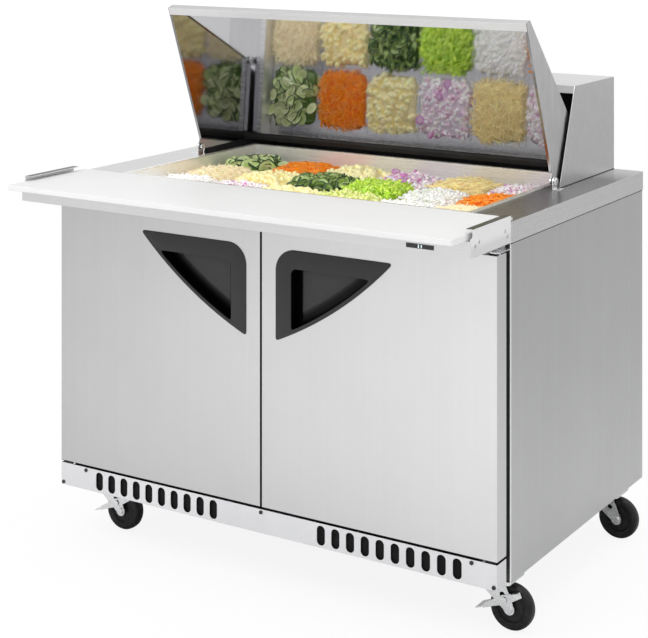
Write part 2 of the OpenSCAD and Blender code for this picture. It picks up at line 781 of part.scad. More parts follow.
module shelf_clips() {
  color(bar_color) both_sides() {
    // on the side walls
    for (y = [body_y + 78, step_y - 60])
      box(foam_x - 17, foam_x - 1.2, y - 8, y + 8, shelf_z - 14, clip_z);
    // on the mullion and on the machine step
    box(5, 25, body_y + 38.2, body_y + 58, shelf_z - 14, clip_z);
    box(5, 25, step_y - 24, step_y + 10, shelf_z - 8, clip_z);
    box(5, 25, step_y, step_y + 10, step_z + 0.6, shelf_z - 7.9);
  }
}

evap_y = liner_back - 100;  // front of the evaporator cover
evap_z = 618;               // axis of the evaporator fan
cond_x = 250;               // axis of the condenser fan
cond_z = 265;
shaft_r = 5;

module evaporator_coil() {
  color([0.80, 0.82, 0.84]) {
    for (i = [-14:14])
      box(i * 20 - 0.5, i * 20 + 0.5, liner_back - 70, liner_back - 6, 560, 690);
    for (z = [580:30:670]) for (y = [liner_back - 54, liner_back - 22])
      rod_x(-296, 296, y, z, 5);
  }
}

module evaporator_cover() {
  wall = 1.2;
  color([0.90, 0.90, 0.91]) difference() {
    mid_box(340, evap_y, liner_back - 1, 530, 706);
    mid_box(340 - wall, evap_y + wall, liner_back, 530 + wall, 706 - wall);
    rod_y(evap_y - 1, evap_y + 3, 0, evap_z, 62);
    for (i = [-5:5]) if (abs(i) > 1)
      box(i * 50 - 16, i * 50 + 16, evap_y - 1, evap_y + 3, 545, 555);
  }
}

module fan_motors() {
  color([0.20, 0.20, 0.22]) {
    // evaporator motor on a strap across the cover's air hole
    rod_y(evap_y - 20, evap_y - 2, 0, evap_z, 18);
    rod_y(evap_y - 30, evap_y - 19.9, 0, evap_z, shaft_r);
    mid_box(70, evap_y - 6, evap_y - 2.4, evap_z - 6, evap_z + 6);
    // condenser motor on a post from the cabinet floor
    rod_y(step_y + 60, step_y + 86, cond_x, cond_z, 22);
    rod_y(step_y + 85.9, step_y + 108, cond_x, cond_z, shaft_r);
    box(cond_x - 6, cond_x + 6, step_y + 66, step_y + 78, floor_z + 0.1, cond_z - 3);
  }
}

module blades(count, hub_r, tip_r) {
  blade_t = 1.6;
  pitch = 24;
  chord = tip_r * 0.64;
  for (k = [0:count - 1]) rotate([0, 0, k * 360 / count]) translate([hub_r - 2, -1, 0])
    rotate([pitch, 0, 0]) translate([0, -chord / 2, -blade_t / 2])
      cube([tip_r - hub_r + 2, chord, blade_t]);
}
module fan(count, hub_r, tip_r, hub_h) {
  difference() {
    union() {
      cylinder(h = hub_h, r = hub_r, center = true, $fn = 40);
      intersection() {
        blades(count, hub_r, tip_r);
        cylinder(h = 60, r = tip_r, center = true, $fn = 64);
      }
    }
    cylinder(h = hub_h * 3, r = shaft_r + bore_gap, center = true, $fn = 40);
  }
}
module evaporator_fan() {
  color(fan_color) translate([0, evap_y - 30, evap_z]) rotate([90, 0, 0])
    fan(count = 4, hub_r = 12, tip_r = 55, hub_h = 12);
}
module condenser_fan() {
  color(fan_color) translate([cond_x, step_y + 104, cond_z]) rotate([90, 0, 0])
    fan(count = 5, hub_r = 16, tip_r = 92, hub_h = 10);
}

// radius, height of the compressor's housing
compressor_profile = [
  [0, 14], [66, 14], [74, 22], [74, 72], [77, 74], [77, 80],
  [74, 82], [74, 128], [66, 148], [44, 162], [18, 168], [0, 169]];

module compressor() {
  color([0.07, 0.07, 0.08]) translate([-230, step_y + 132, machine_z]) {
    rotate_extrude($fn = 64) polygon(compressor_profile);
    // base plate on four feet
    translate([0, 0, 12]) cube([170, 120, 4], center = true);
    for (x = [-74, 74]) for (y = [-48, 48])
      translate([x, y, 0.2]) cylinder(h = 10.4, r = 9, $fn = 32);
  }
}

module condenser_coil() {
  y0 = step_y + 124;
  y1 = y0 + 60;
  x0 = cond_x - 138;
  x1 = cond_x + 138;
  plate_t = 2;
  color([0.66, 0.67, 0.68]) {
    for (i = [-11:11]) box(cond_x + i * 12 - 0.5, cond_x + i * 12 + 0.5, y0, y1, 160, 370);
    for (z = [185:40:345]) for (y = [y0 + 16, y0 + 44])
      rod_x(x0 + plate_t, x1 - plate_t, y, z, 5);
    box(x0, x1, y0, y1, machine_z, 160.5);
    for (x = [x0, x1 - plate_t]) box(x, x + plate_t, y0, y1, 160.4, 372);
  }
}

module rear_grille() {
  color([0.62, 0.63, 0.64]) difference() {
    mid_box(425, inner_back - 1.2, inner_back, 150, 400);
    for (row = [0:5]) for (i = [-6:6]) translate([i * 60, 0, 182 + row * 37])
      along_y(inner_back - 5, inner_back + 5) rounded_rect(46, 14, 6.9);
  }
}

// ------------------------------------------------------------------- casters
// Each caster is drawn about its swivel axis, with the wheel trailing to +X.
axle_r = 5;
stem_r = 6;
leg_y = wheel_w / 2 + 3.4;  // inner face of a fork leg
leg_t = 3;
pedal_x = trail - 10;       // pedal pivot
pedal_z = axle_z + 20;
pedal_pin_r = 4;

// the rear left caster is swivelled half a turn from the others
module caster_at(side, y) {
  translate([side * caster_x, y, 0]) rotate([0, 0, side < 0 && y > 0 ? 180 : 0]) children();
}

module caster_plates() {
  plate_z = base_h - 10;
  color([0.70, 0.71, 0.73])
    for (side = [-1, 1]) for (y = [caster_yf, caster_yr]) caster_at(side, y) {
      translate([0, 0, plate_z]) linear_extrude(9.9) rounded_rect(122, 84, 8);
      rod_z(base_h - 12.5, plate_z + 0.1, 0, 0, 29);
      rod_z(98.6, plate_z + 0.1, 0, 0, stem_r);
      rod_z(96.5, 101.6, 0, 0, 9);
    }
}

module fork() {
  top = 107.9;
  crown_z = 102.6;
  outer_y = leg_y + leg_t;
  difference() {
    union() {
      translate([0, 0, crown_z]) linear_extrude(top - crown_z) {
        circle(r = 28, $fn = 48);
        translate([0, -outer_y]) square([40, 2 * outer_y]);
        translate([-22, -outer_y]) square([24, 2 * outer_y]);
      }
      for (side = [-1, 1]) mirror([0, side < 0 ? 1 : 0, 0]) difference() {
        union() {
          along_y(leg_y, outer_y) polygon([
            [-22, top], [40, top], [trail + 9, axle_z + 12], [trail + 11, axle_z],
            [trail + 4, axle_z - 12], [trail - 4, axle_z - 12],
            [trail - 14, axle_z - 2], [-20, top - 14]]);
          rod_y(leg_y, outer_y, trail, axle_z, 13);
        }
        rod_y(leg_y - 1, leg_y + 5, trail - 16, axle_z + 30, 6);
      }
    }
    rod_z(crown_z - 1, top + 1, 0, 0, stem_r + bore_gap);
    rod_y(-leg_y - 10, leg_y + 10, trail, axle_z, axle_r + bore_gap);
  }
}

module axle_bolt() {
  end_y = leg_y + leg_t + 0.2;
  rod_y(-end_y, end_y, trail, axle_z, axle_r);
  rod_y(-end_y - 4, -end_y + 0.1, trail, axle_z, 8);
  translate([trail, end_y + 5, axle_z]) rotate([90, 0, 0])
    cylinder(h = 5.1, r = 8.5, $fn = 6);
}

module wheel() {
  half = wheel_w / 2;
  tread_r = wheel_d / 2;
  translate([trail, 0, axle_z]) rotate([90, 0, 0]) difference() {
    // radius, place along the axle
    rotate_extrude($fn = 72) polygon([
      [0, -half - 2], [11, -half - 2], [13, -half + 4], [30, -half + 5], [33, -half + 1],
      [tread_r - 8, -half], [tread_r - 3, -half + 2], [tread_r - 0.8, -half + 6],
      [tread_r, -3], [tread_r, 3],
      [tread_r - 0.8, half - 6], [tread_r - 3, half - 2], [tread_r - 8, half],
      [33, half - 1], [30, half - 5], [13, half - 4], [11, half + 2], [0, half + 2]]);
    cylinder(h = 4 * half, r = axle_r + bore_gap, center = true, $fn = 48);
  }
}

// brake pedal: a lever on the fork's front leg with a foot tab clear of the tread
module pedal() {
  y1 = -(wheel_w / 2 + 7.2);
  y0 = y1 - 3;
  // x, z outlines about the pivot
  lever = [[-52, -29], [-50, -18], [-12, 5], [14, 16], [38, 22], [42, 13],
    [16, -3], [-4, -12], [-20, -17]];
  foot_tab = [[-70, -33], [-69, -30], [-51, -22.6], [-50, -26]];
  upper_tab = [[20, 16], [38, 22], [37, 24.6], [19, 18.6]];
  translate([pedal_x, 0, pedal_z]) difference() {
    union() {
      along_y(y0, y1) polygon(lever);
      rod_y(y0, y1, 0, 0, 11);
      along_y(y0, 14) polygon(foot_tab);
      along_y(y1 - 12, y1) polygon(upper_tab);
    }
    rod_y(y1 - 20, y1 + 10, 0, 0, pedal_pin_r + bore_gap);
  }
}
module pedal_pivot() {
  rod_y(-leg_y - 8.6, -leg_y - 2.9, pedal_x, pedal_z, pedal_pin_r);
  rod_y(-leg_y - 10.6, -leg_y - 8.5, pedal_x, pedal_z, 7);
}

module caster_fork(side, y, brake) {
  color([0.74, 0.75, 0.77]) caster_at(side, y) {
    union() {
      fork();
      if (brake) pedal_pivot();
    }
    axle_bolt();
  }
}
module caster_wheel(side, y) { color([0.06, 0.06, 0.07]) caster_at(side, y) wheel(); }
module caster_pedal(side, y) { color([0.78, 0.79, 0.80]) caster_at(side, y) pedal(); }
module caster_fl_fork() { caster_fork(-1, caster_yf, true); }
module caster_fr_fork() { caster_fork(1, caster_yf, true); }
module caster_rl_fork() { caster_fork(-1, caster_yr, false); }
module caster_rr_fork() { caster_fork(1, caster_yr, false); }
module caster_fl_wheel() { caster_wheel(-1, caster_yf); }
module caster_fr_wheel() { caster_wheel(1, caster_yf); }
module caster_rl_wheel() { caster_wheel(-1, caster_yr); }
module caster_rr_wheel() { caster_wheel(1, caster_yr); }
module caster_fl_pedal() { caster_pedal(-1, caster_yf); }
module caster_fr_pedal() { caster_pedal(1, caster_yf); }

cabinet_shell();
cabinet_insulation();
cabinet_liner();
front_frame();
base_rails();
front_grille();
grille_screws();
worktop();
worktop_insulation();
well_rim();
pan_well();
pan_divider_bars();
food_pans();
board_shelf();
shelf_screws();
display();
housing_cover();
lid_hinge_brackets();
door_hinge_brackets();
wire_shelves();
shelf_clips();
evaporator_coil();
evaporator_cover();
fan_motors();
compressor();
condenser_coil();
rear_grille();
caster_plates();
lid_panel();
lid_core();
lid_liner();
lid_wings();
lid_gasket();
lid_pins();
door_left_skin();
door_left_core();
door_left_liner();
door_left_gasket();
door_left_handle();
door_left_hinge_pins();
door_right_skin();
door_right_core();
door_right_liner();
door_right_gasket();
door_right_handle();
door_right_hinge_pins();
cutting_board();
caster_fl_fork();
caster_fl_wheel();
caster_fl_pedal();
caster_fr_fork();
caster_fr_wheel();
caster_fr_pedal();
caster_rl_fork();
caster_rl_wheel();
caster_rr_fork();
caster_rr_wheel();
evaporator_fan();
condenser_fan();
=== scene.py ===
import bpy, bmesh, math, random
from mathutils import Vector, Matrix, noise


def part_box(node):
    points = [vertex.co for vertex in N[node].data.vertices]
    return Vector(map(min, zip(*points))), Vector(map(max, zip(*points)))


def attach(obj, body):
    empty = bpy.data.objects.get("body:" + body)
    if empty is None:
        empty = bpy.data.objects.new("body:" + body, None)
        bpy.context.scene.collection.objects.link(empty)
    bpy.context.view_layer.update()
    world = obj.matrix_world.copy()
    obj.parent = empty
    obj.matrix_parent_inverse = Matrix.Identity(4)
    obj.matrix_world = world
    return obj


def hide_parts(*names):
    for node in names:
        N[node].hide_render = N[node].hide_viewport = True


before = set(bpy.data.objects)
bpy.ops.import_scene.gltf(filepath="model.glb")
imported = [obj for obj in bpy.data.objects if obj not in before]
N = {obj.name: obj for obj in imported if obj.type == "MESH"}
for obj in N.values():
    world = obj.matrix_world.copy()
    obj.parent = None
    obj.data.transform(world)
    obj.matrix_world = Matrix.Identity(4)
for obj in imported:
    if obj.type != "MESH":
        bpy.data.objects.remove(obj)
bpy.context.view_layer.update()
scene = bpy.context.scene
MM = 0.001


# ------------------------------------------------------------------ node helpers
class Mat:
    """Small builder for procedural node materials."""

    def __init__(self, name):
        self.m = bpy.data.materials.new(name)
        self.m.use_nodes = True
        self.t = self.m.node_tree
        self.t.nodes.clear()
        self.out = self.n("ShaderNodeOutputMaterial")
        self.b = self.n("ShaderNodeBsdfPrincipled")
        self.link(self.b.outputs[0], self.out.inputs[0])
        self.coord = self.n("ShaderNodeTexCoord").outputs["Object"]

    def n(self, kind, **kw):
        x = self.t.nodes.new(kind)
        for k, v in kw.items():
            setattr(x, k, v)
        return x

    def link(self, a, b):
        self.t.links.new(a, b)

    def put(self, sock, v):
        if hasattr(v, "is_linked") or isinstance(v, bpy.types.NodeSocket):
            self.link(v, sock)
        else:
            sock.default_value = v

    def set(self, **kw):
        for k, v in kw.items():
            self.put(self.b.inputs[k.replace("_", " ")], v)

    def scaled(self, sx, sy, sz, rot=(0, 0, 0)):
        mp = self.n("ShaderNodeMapping")
        mp.inputs["Scale"].default_value = (sx, sy, sz)
        mp.inputs["Rotation"].default_value = rot
        self.link(self.coord, mp.inputs["Vector"])
        return mp.outputs[0]

    def noise(self, vec, scale=1.0, detail=2.0, rough=0.5, dist=0.0):
        x = self.n("ShaderNodeTexNoise")
        self.link(vec, x.inputs["Vector"])
        x.inputs["Scale"].default_value = scale
        x.inputs["Detail"].default_value = detail
        x.inputs["Roughness"].default_value = rough
        x.inputs["Distortion"].default_value = dist
        return x.outputs[0]

    def voronoi(self, vec, scale, feature="F1"):
        x = self.n("ShaderNodeTexVoronoi", feature=feature)
        self.link(vec, x.inputs["Vector"])
        x.inputs["Scale"].default_value = scale
        return x.outputs["Distance"]

    def math(self, op, a, b=None, c=None, clamp=False):
        x = self.n("ShaderNodeMath", operation=op, use_clamp=clamp)
        self.put(x.inputs[0], a)
        if b is not None:
            self.put(x.inputs[1], b)
        if c is not None:
            self.put(x.inputs[2], c)
        return x.outputs[0]

    def remap(self, v, a, b, c, d):
        x = self.n("ShaderNodeMapRange")
        self.put(x.inputs["Value"], v)
        for k, w in (("From Min", a), ("From Max", b), ("To Min", c), ("To Max", d)):
            x.inputs[k].default_value = w
        return x.outputs[0]

    def mix(self, f, a, b, blend="MIX"):
        x = self.n("ShaderNodeMix", data_type="RGBA", blend_type=blend)
        self.put(x.inputs[0], f)
        for s, v in ((x.inputs[6], a), (x.inputs[7], b)):
            if isinstance(v, (tuple, list)):
                s.default_value = (*v, 1.0) if len(v) == 3 else v
            else:
                self.put(s, v)
        return x.outputs[2]

    def bump(self, height, strength, dist, normal=None):
        x = self.n("ShaderNodeBump")
        x.inputs["Strength"].default_value = strength
        x.inputs["Distance"].default_value = dist
        self.link(height, x.inputs["Height"])
        if normal is not None:
            self.link(normal, x.inputs["Normal"])
        self.link(x.outputs[0], self.b.inputs["Normal"])
        return x.outputs[0]

    def rounded(self, radius):
        x = self.n("ShaderNodeBevel", samples=4)
        x.inputs["Radius"].default_value = radius
        return x.outputs[0]


def grey(v):
    return (v, v, v)


def steel(name, base, rough, grain="Z", streak=0.06, tint=(1, 1, 1), smudge=0.05, edge=0.0006, bands=0.0, aniso=0.4, lean=0.0):
    """Brushed stainless: fine lines along the grain axis, broad soft streaks, faint handling marks."""
    m = Mat(name)
    fine = {"Z": (1500, 1500, 9), "X": (9, 1500, 1500), "Y": (1500, 9, 1500)}[grain]
    wide = {"Z": (70, 70, 0.7), "X": (0.7, 70, 70), "Y": (70, 0.7, 70)}[grain]
    f = m.noise(m.scaled(*fine), 1.0, 2.0, 0.6)
    w = m.noise(m.scaled(*wide), 1.0, 3.0, 0.6)
    s = m.noise(m.scaled(3.1, 3.1, 3.1), 1.0, 4.0, 0.62, 0.4)
    marks = m.noise(m.scaled(26, 26, 26), 1.0, 5.0, 0.7, 1.2)
    v = m.math("ADD", m.remap(f, 0.3, 0.7, -streak * 0.6, streak * 0.6), m.remap(w, 0.3, 0.7, -streak * (0.5 + bands), streak * (0.5 + bands)))
    v = m.math("ADD", v, m.remap(s, 0.3, 0.7, -0.02, 0.02))
    # lean paints the sheet lighter towards +x and darker towards -x: painted light
    if lean:
        px = m.n("ShaderNodeSeparateXYZ")
        m.link(m.coord, px.inputs[0])
        v = m.math("ADD", v, m.remap(px.outputs[0], -0.6, 0.6, -lean, lean))
    gain = m.math("ADD", v, 1.0)
    col = m.mix(1.0, (base * tint[0], base * tint[1], base * tint[2]), grey(1), "MULTIPLY")
    hsv = m.n("ShaderNodeHueSaturation")
    m.link(col, hsv.inputs["Color"])
    m.link(gain, hsv.inputs["Value"])
    r = m.math("ADD", m.remap(f, 0.25, 0.75, rough - 0.05, rough + 0.05), m.remap(marks, 0.52, 0.78, 0.0, smudge))
    m.set(Base_Color=hsv.outputs[0], Metallic=1.0, Roughness=r)
    m.b.inputs["Anisotropic"].default_value = aniso
    m.bump(f, 0.05, 0.00005, m.rounded(edge))
    return m


def plastic(name, col, rough, grain_scale=1400, bump=0.10, var=0.10, coat=0.0, edge=0.0008):
    """Moulded plastic: fine spark-eroded grain, slight tone drift, soft moulded edges."""
    m = Mat(name)
    g = m.noise(m.scaled(1, 1, 1), grain_scale, 2.0, 0.6)
    s = m.noise(m.scaled(1, 1, 1), 14, 4.0, 0.6)
    c = m.mix(m.remap(s, 0.3, 0.7, 0, 1), tuple(x * (1 - var) for x in col), tuple(min(1, x * (1 + var)) for x in col))
    m.set(Base_Color=c, Roughness=m.math("ADD", m.remap(s, 0.3, 0.7, rough - 0.04, rough + 0.04), m.remap(g, 0.3, 0.7, -0.03, 0.03)))
    m.b.inputs["Coat Weight"].default_value = coat
    m.bump(g, bump, 0.0001, m.rounded(edge))
    return m


# ------------------------------------------------------------------ materials
M = {}


def shell_mat():
    """Satin side sheets; a narrow band along their front edge is painted pale and less metallic, a painted highlight
    for the bend there.
    """
    m = steel("shell_steel", 0.70, 0.38, "Z", 0.024, (0.995, 0.998, 1.0), bands=0.2)
    pos = m.n("ShaderNodeSeparateXYZ")
    m.link(m.coord, pos.inputs[0])
    y0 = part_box("cabinet_shell")[0].y
    # painted highlight: the first few millimetres behind the front edge turn pale and less metallic
    front_bend_painted_highlight = m.remap(pos.outputs[1], y0 + 0.0035, y0 + 0.0060, 1.0, 0.0)
    col = m.b.inputs["Base Color"].links[0].from_socket
    drift = m.n("ShaderNodeCombineColor")
    for i in range(3):
        m.link(m.remap(pos.outputs[1], -0.26, 0.53, 0.98, 1.08), drift.inputs[i])
    col = m.mix(1.0, col, drift.outputs[0], "MULTIPLY")
    m.link(m.mix(front_bend_painted_highlight, col, grey(0.97)), m.b.inputs["Base Color"])
    m.link(m.math("SUBTRACT", 1.0, m.math("MULTIPLY", front_bend_painted_highlight, 0.6)), m.b.inputs["Metallic"])
    return m.m


M["shell"] = shell_mat()


def door_mat():
    """Satin door sheets; the folded edges along the middle gap and the bottom gap are painted near black and
    non-metallic: painted shade for the gaps.
    """
    # lean=0.18 paints the doors darker on the left and lighter on the right: painted light
    m = steel("door_steel", 0.70, 0.40, "Z", 0.014, (0.995, 0.995, 1.0), bands=0.2, lean=0.18)
    pos = m.n("ShaderNodeSeparateXYZ")
    m.link(m.coord, pos.inputs[0])
    # painted shade: near-black bands along the middle gap and along the bottom edge
    gap = m.remap(m.math("ABSOLUTE", pos.outputs[0]), 0.0028, 0.0032, 1.0, 0.0)
    z0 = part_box("door_left_skin")[0].z
    gap = m.math("MAXIMUM", gap, m.remap(pos.outputs[2], z0 + 0.0010, z0 + 0.0014, 1.0, 0.0))
    col = m.b.inputs["Base Color"].links[0].from_socket
    m.link(m.mix(gap, col, grey(0.004)), m.b.inputs["Base Color"])
    m.link(m.math("SUBTRACT", 1.0, m.math("MULTIPLY", gap, 0.9)), m.b.inputs["Metallic"])
    return m.m


M["door"] = door_mat()
M["rails"] = steel("rail_steel", 0.52, 0.42, "X", 0.06).m


def tray_mat():
    """Satin tray; its end faces are painted paler, rougher and less metallic, painted light, and darker towards the
    bottom, painted shade; the upward faces of its inward flanges along the top edge are painted dark, painted shade.
    """
    m = steel("tray_steel", 0.77, 0.30, "X", 0.03)
    g = m.n("ShaderNodeSeparateXYZ")
    m.link(m.n("ShaderNodeNewGeometry").outputs["True Normal"], g.inputs[0])
    pos = m.n("ShaderNodeSeparateXYZ")
    m.link(m.coord, pos.inputs[0])
    lo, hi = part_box("board_shelf")
    # painted light: faces turned along x, the end plates, get a paler, less metallic finish
    end = m.remap(m.math("ABSOLUTE", g.outputs[0]), 0.6, 0.9, 0.0, 1.0)
    # painted shade: upward faces just below the top edge go near black and less metallic
    flange_painted_shade = m.math("MULTIPLY", m.remap(g.outputs[2], 0.7, 0.95, 0.0, 1.0), m.remap(pos.outputs[2], hi.z - 0.004, hi.z - 0.002, 0.0, 1.0))
    col = m.b.inputs["Base Color"].links[0].from_socket
    rough = m.b.inputs["Roughness"].links[0].from_socket
    # painted shade on the end faces: darker towards the bottom
    pale = m.remap(pos.outputs[2], lo.z + 0.014, lo.z + 0.030, 0.74, 0.89)
    c = m.n("ShaderNodeCombineColor")
    for i in range(3):
        m.link(pale, c.inputs[i])
    m.link(m.mix(flange_painted_shade, m.mix(end, col, c.outputs[0]), grey(0.075)), m.b.inputs["Base Color"])
    m.link(m.math("SUBTRACT", 1.0, m.math("ADD", m.math("MULTIPLY", end, 0.62), m.math("MULTIPLY", flange_painted_shade, 0.6))), m.b.inputs["Metallic"])
    m.link(m.math("ADD", rough, m.math("MULTIPLY", end, 0.12)), m.b.inputs["Roughness"])
    return m.m


M["shelf"] = tray_mat()
M["inner"] = steel("inner_steel", 0.80, 0.26, "X", 0.05).m
well = steel("well_steel", 0.95, 0.30, "X", 0.04, (1.0, 0.985, 0.96))
well.b.inputs["Metallic"].default_value = 0.42
M["well"] = well.m
M["pan"] = steel("pan_steel", 0.86, 0.20, "Z", 0.05, smudge=0.08).m
rim = steel("rim_steel", 0.93, 0.27, "X", 0.03, (1.0, 0.995, 0.98))
rim.b.inputs["Metallic"].default_value = 0.72
M["rim"] = rim.m
M["rear"] = steel("rear_steel", 0.66, 0.42, "Z", 0.05).m


def lid_mat():
    """Satin lid; its broad outer face is painted darker than its lip: painted shade."""
    m = steel("lid_out_steel", 0.70, 0.30, "X", 0.04)
    g = m.n("ShaderNodeSeparateXYZ")
    m.link(m.n("ShaderNodeTexCoord").outputs["Normal"], g.inputs[0])
    # painted shade: faces turned towards +y get their colour multiplied by 0.55
    broad = m.remap(g.outputs[1], 0.3, 0.6, 0.0, 1.0)
    col = m.b.inputs["Base Color"].links[0].from_socket
    m.link(m.mix(broad, col, m.mix(1.0, col, grey(0.55), "MULTIPLY")), m.b.inputs["Base Color"])
    return m.m


M["lid_out"] = lid_mat()


def worktop_mat():
    s = steel("worktop_steel", 0.84, 0.26, "Y", 0.05, edge=0.0012)
    m = s
    # the flat top is polished brighter than the satin side band
    nz = m.n("ShaderNodeSeparateXYZ")
    m.link(m.n("ShaderNodeNewGeometry").outputs["Normal"], nz.inputs[0])
    top = m.remap(nz.outputs[2], 0.6, 0.95, 0.0, 1.0)
    old = m.b.inputs["Roughness"].links[0].from_socket
    satin = m.math("MULTIPLY", old, m.math("SUBTRACT", 1.0, m.math("MULTIPLY", top, 0.30)))
    pos = m.n("ShaderNodeSeparateXYZ")
    m.link(m.coord, pos.inputs[0])
    # painted dark reflection: a strip of the top near the right edge, fading towards the back, is painted dark and less
    # metallic
    right = m.math("MULTIPLY", top, m.remap(pos.outputs[0], 0.44, 0.50, 0.0, 1.0))
    right = m.math("MULTIPLY", right, m.remap(pos.outputs[1], 0.36, 0.50, 1.0, 0.45))
    m.link(m.math("ADD", satin, m.math("MULTIPLY", right, 0.10)), m.b.inputs["Roughness"])
    col = m.b.inputs["Base Color"].links[0].from_socket
    # painted light: the side band faces are painted 15% lighter than the top
    band = m.remap(m.math("ABSOLUTE", nz.outputs[0]), 0.6, 0.9, 0.0, 1.0)
    col = m.mix(band, col, m.mix(1.0, col, grey(1.15), "MULTIPLY"))
    m.link(m.mix(right, col, m.mix(1.0, col, grey(0.17), "MULTIPLY")), m.b.inputs["Base Color"])
    m.link(m.math("SUBTRACT", 1.0, m.math("MULTIPLY", right, 0.62)), m.b.inputs["Metallic"])
    return m.m


M["worktop"] = worktop_mat()


def housing_mat():
    """Satin sheet outside; the inner faces are painted near black with a faint noise: painted shade inside the hollow
    housing.
    """
    m = steel("housing_steel", 0.83, 0.30, "X", 0.04, bands=0.2)
    g = m.n("ShaderNodeSeparateXYZ")
    m.link(m.n("ShaderNodeNewGeometry").outputs["True Normal"], g.inputs[0])
    pos = m.n("ShaderNodeSeparateXYZ")
    m.link(m.coord, pos.inputs[0])
    lo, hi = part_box("housing_cover")
    side = m.remap(m.math("MULTIPLY", g.outputs[0], m.math("SIGN", pos.outputs[0])), -0.9, -0.6, 1.0, 0.0)
    back = m.math("MULTIPLY", m.remap(g.outputs[1], -0.9, -0.6, 1.0, 0.0), m.remap(pos.outputs[1], hi.y - 0.012, hi.y - 0.008, 0.0, 1.0))
    under = m.remap(g.outputs[2], -0.9, -0.5, 1.0, 0.0)
    # painted shade: faces turned inwards, backwards and downwards go near black, non-metallic and rough
    inside = m.math("MAXIMUM", m.math("MAXIMUM", side, back), under)
    # coat is only the noise that varies this painted shade
    coat = m.noise(m.scaled(1, 1, 1), 180, 3.0, 0.6)
    col = m.b.inputs["Base Color"].links[0].from_socket
    rough = m.b.inputs["Roughness"].links[0].from_socket
    m.link(m.mix(inside, col, m.mix(m.remap(coat, 0.3, 0.7, 0, 1), grey(0.006), grey(0.014))), m.b.inputs["Base Color"])
    m.link(m.math("ADD", m.math("MULTIPLY", rough, m.math("SUBTRACT", 1.0, inside)), m.math("MULTIPLY", inside, 0.7)), m.b.inputs["Roughness"])
    m.link(m.math("SUBTRACT", 1.0, inside), m.b.inputs["Metallic"])
    return m.m


M["housing"] = housing_mat()


def mirror_mat(name, base, rough):
    """Polished liner: near mirror, with faint polishing swirls and a little haze."""
    m = Mat(name)
    sw = m.noise(m.scaled(18, 18, 18), 1.0, 5.0, 0.65, 2.0)
    fine = m.noise(m.scaled(30, 900, 900), 1.0, 2.0, 0.6)
    haze = m.noise(m.scaled(2.6, 2.6, 2.6), 1.0, 3.0, 0.5)
    c = m.mix(m.remap(haze, 0.3, 0.7, 0, 1), tuple(x * 0.93 for x in base), tuple(x * 1.05 for x in base))
    m.set(Base_Color=c, Metallic=1.0, Roughness=m.math("ADD", m.remap(sw, 0.3, 0.7, rough - 0.012, rough + 0.02), m.remap(fine, 0.3, 0.7, -0.006, 0.006)))
    m.bump(m.noise(m.scaled(5, 5, 5), 1.0, 2.0, 0.5), 0.10, 0.0006, m.rounded(0.0005))
    return m


M["liner"] = mirror_mat("liner_mirror", (0.60, 0.60, 0.62), 0.055).m


def wing_mat():
    """Satin sheet outside, polished on the face that looks into the well."""
    a = mirror_mat("wing_steel", (0.48, 0.48, 0.50), 0.075)
    g = a.n("ShaderNodeSeparateXYZ")
    a.link(a.n("ShaderNodeNewGeometry").outputs["Normal"], g.inputs[0])
    p = a.n("ShaderNodeSeparateXYZ")
    a.link(a.coord, p.inputs[0])
    side = a.math("MULTIPLY", g.outputs[0], a.math("SIGN", p.outputs[0]))
    outer = a.remap(side, -0.2, 0.3, 0.0, 1.0)
    f = a.noise(a.scaled(900, 60, 14), 1.0, 2.0, 0.6)
    rough = a.b.inputs["Roughness"].links[0].from_socket
    col = a.b.inputs["Base Color"].links[0].from_socket
    r2 = a.math("ADD", a.math("MULTIPLY", rough, a.math("SUBTRACT", 1.0, outer)), a.math("MULTIPLY", a.remap(f, 0.3, 0.7, 0.28, 0.36), outer))
    a.link(r2, a.b.inputs["Roughness"])
    both = a.mix(outer, col, a.mix(a.remap(f, 0.3, 0.7, 0, 1), grey(0.72), grey(0.80)))
    # painted shade: faces turned away from x, the sheet's edges, are darkened down to 0.42
    cut = a.remap(a.math("ABSOLUTE", side), 0.35, 0.75, 0.42, 1.0)
    rim = a.n("ShaderNodeHueSaturation")
    a.link(both, rim.inputs["Color"])
    a.link(cut, rim.inputs["Value"])
    a.link(rim.outputs[0], a.b.inputs["Base Color"])
    return a.m


M["wing"] = wing_mat()


def grille_mat():
    m = Mat("grille_coat")
    p = m.noise(m.scaled(1, 1, 1), 900, 3.0, 0.6)
    s = m.noise(m.scaled(5, 5, 5), 1.0, 4.0, 0.6)
    g = m.n("ShaderNodeSeparateXYZ")
    m.link(m.n("ShaderNodeNewGeometry").outputs["True Normal"], g.inputs[0])
    # painted shade: upward faces, such as the slot sills, go near black and less metallic
    up = m.remap(g.outputs[2], 0.7, 0.95, 0.0, 1.0)
    coat = m.mix(m.remap(s, 0.3, 0.7, 0, 1), (0.73, 0.73, 0.748), (0.80, 0.80, 0.815))
    m.set(Base_Color=m.mix(up, coat, grey(0.006)), Metallic=m.math("MULTIPLY", m.math("SUBTRACT", 1.0, up), 0.55),
          Roughness=m.remap(p, 0.3, 0.7, 0.30, 0.40))
    m.bump(p, 0.12, 0.00012, m.rounded(0.0008))
    return m.m


M["grille"] = grille_mat()
M["black"] = plastic("black_plastic", (0.030, 0.030, 0.032), 0.42, 1500, 0.16, 0.12).m
M["handle"] = plastic("handle_plastic", (0.024, 0.024, 0.025), 0.50, 1700, 0.14, 0.10, edge=0.0012).m
M["screwblack"] = plastic("black_oxide", (0.022, 0.022, 0.024), 0.38, 2200, 0.12, 0.2, edge=0.0004).m
M["white"] = plastic("white_plastic", (0.80, 0.80, 0.80), 0.42, 900, 0.08, 0.03).m
M["display"] = plastic("display_gloss", (0.006, 0.006, 0.008), 0.10, 700, 0.02, 0.2, coat=0.5, edge=0.0003).m
M["compressor"] = plastic("black_enamel", (0.018, 0.018, 0.020), 0.28, 400, 0.25, 0.2, coat=0.3).m


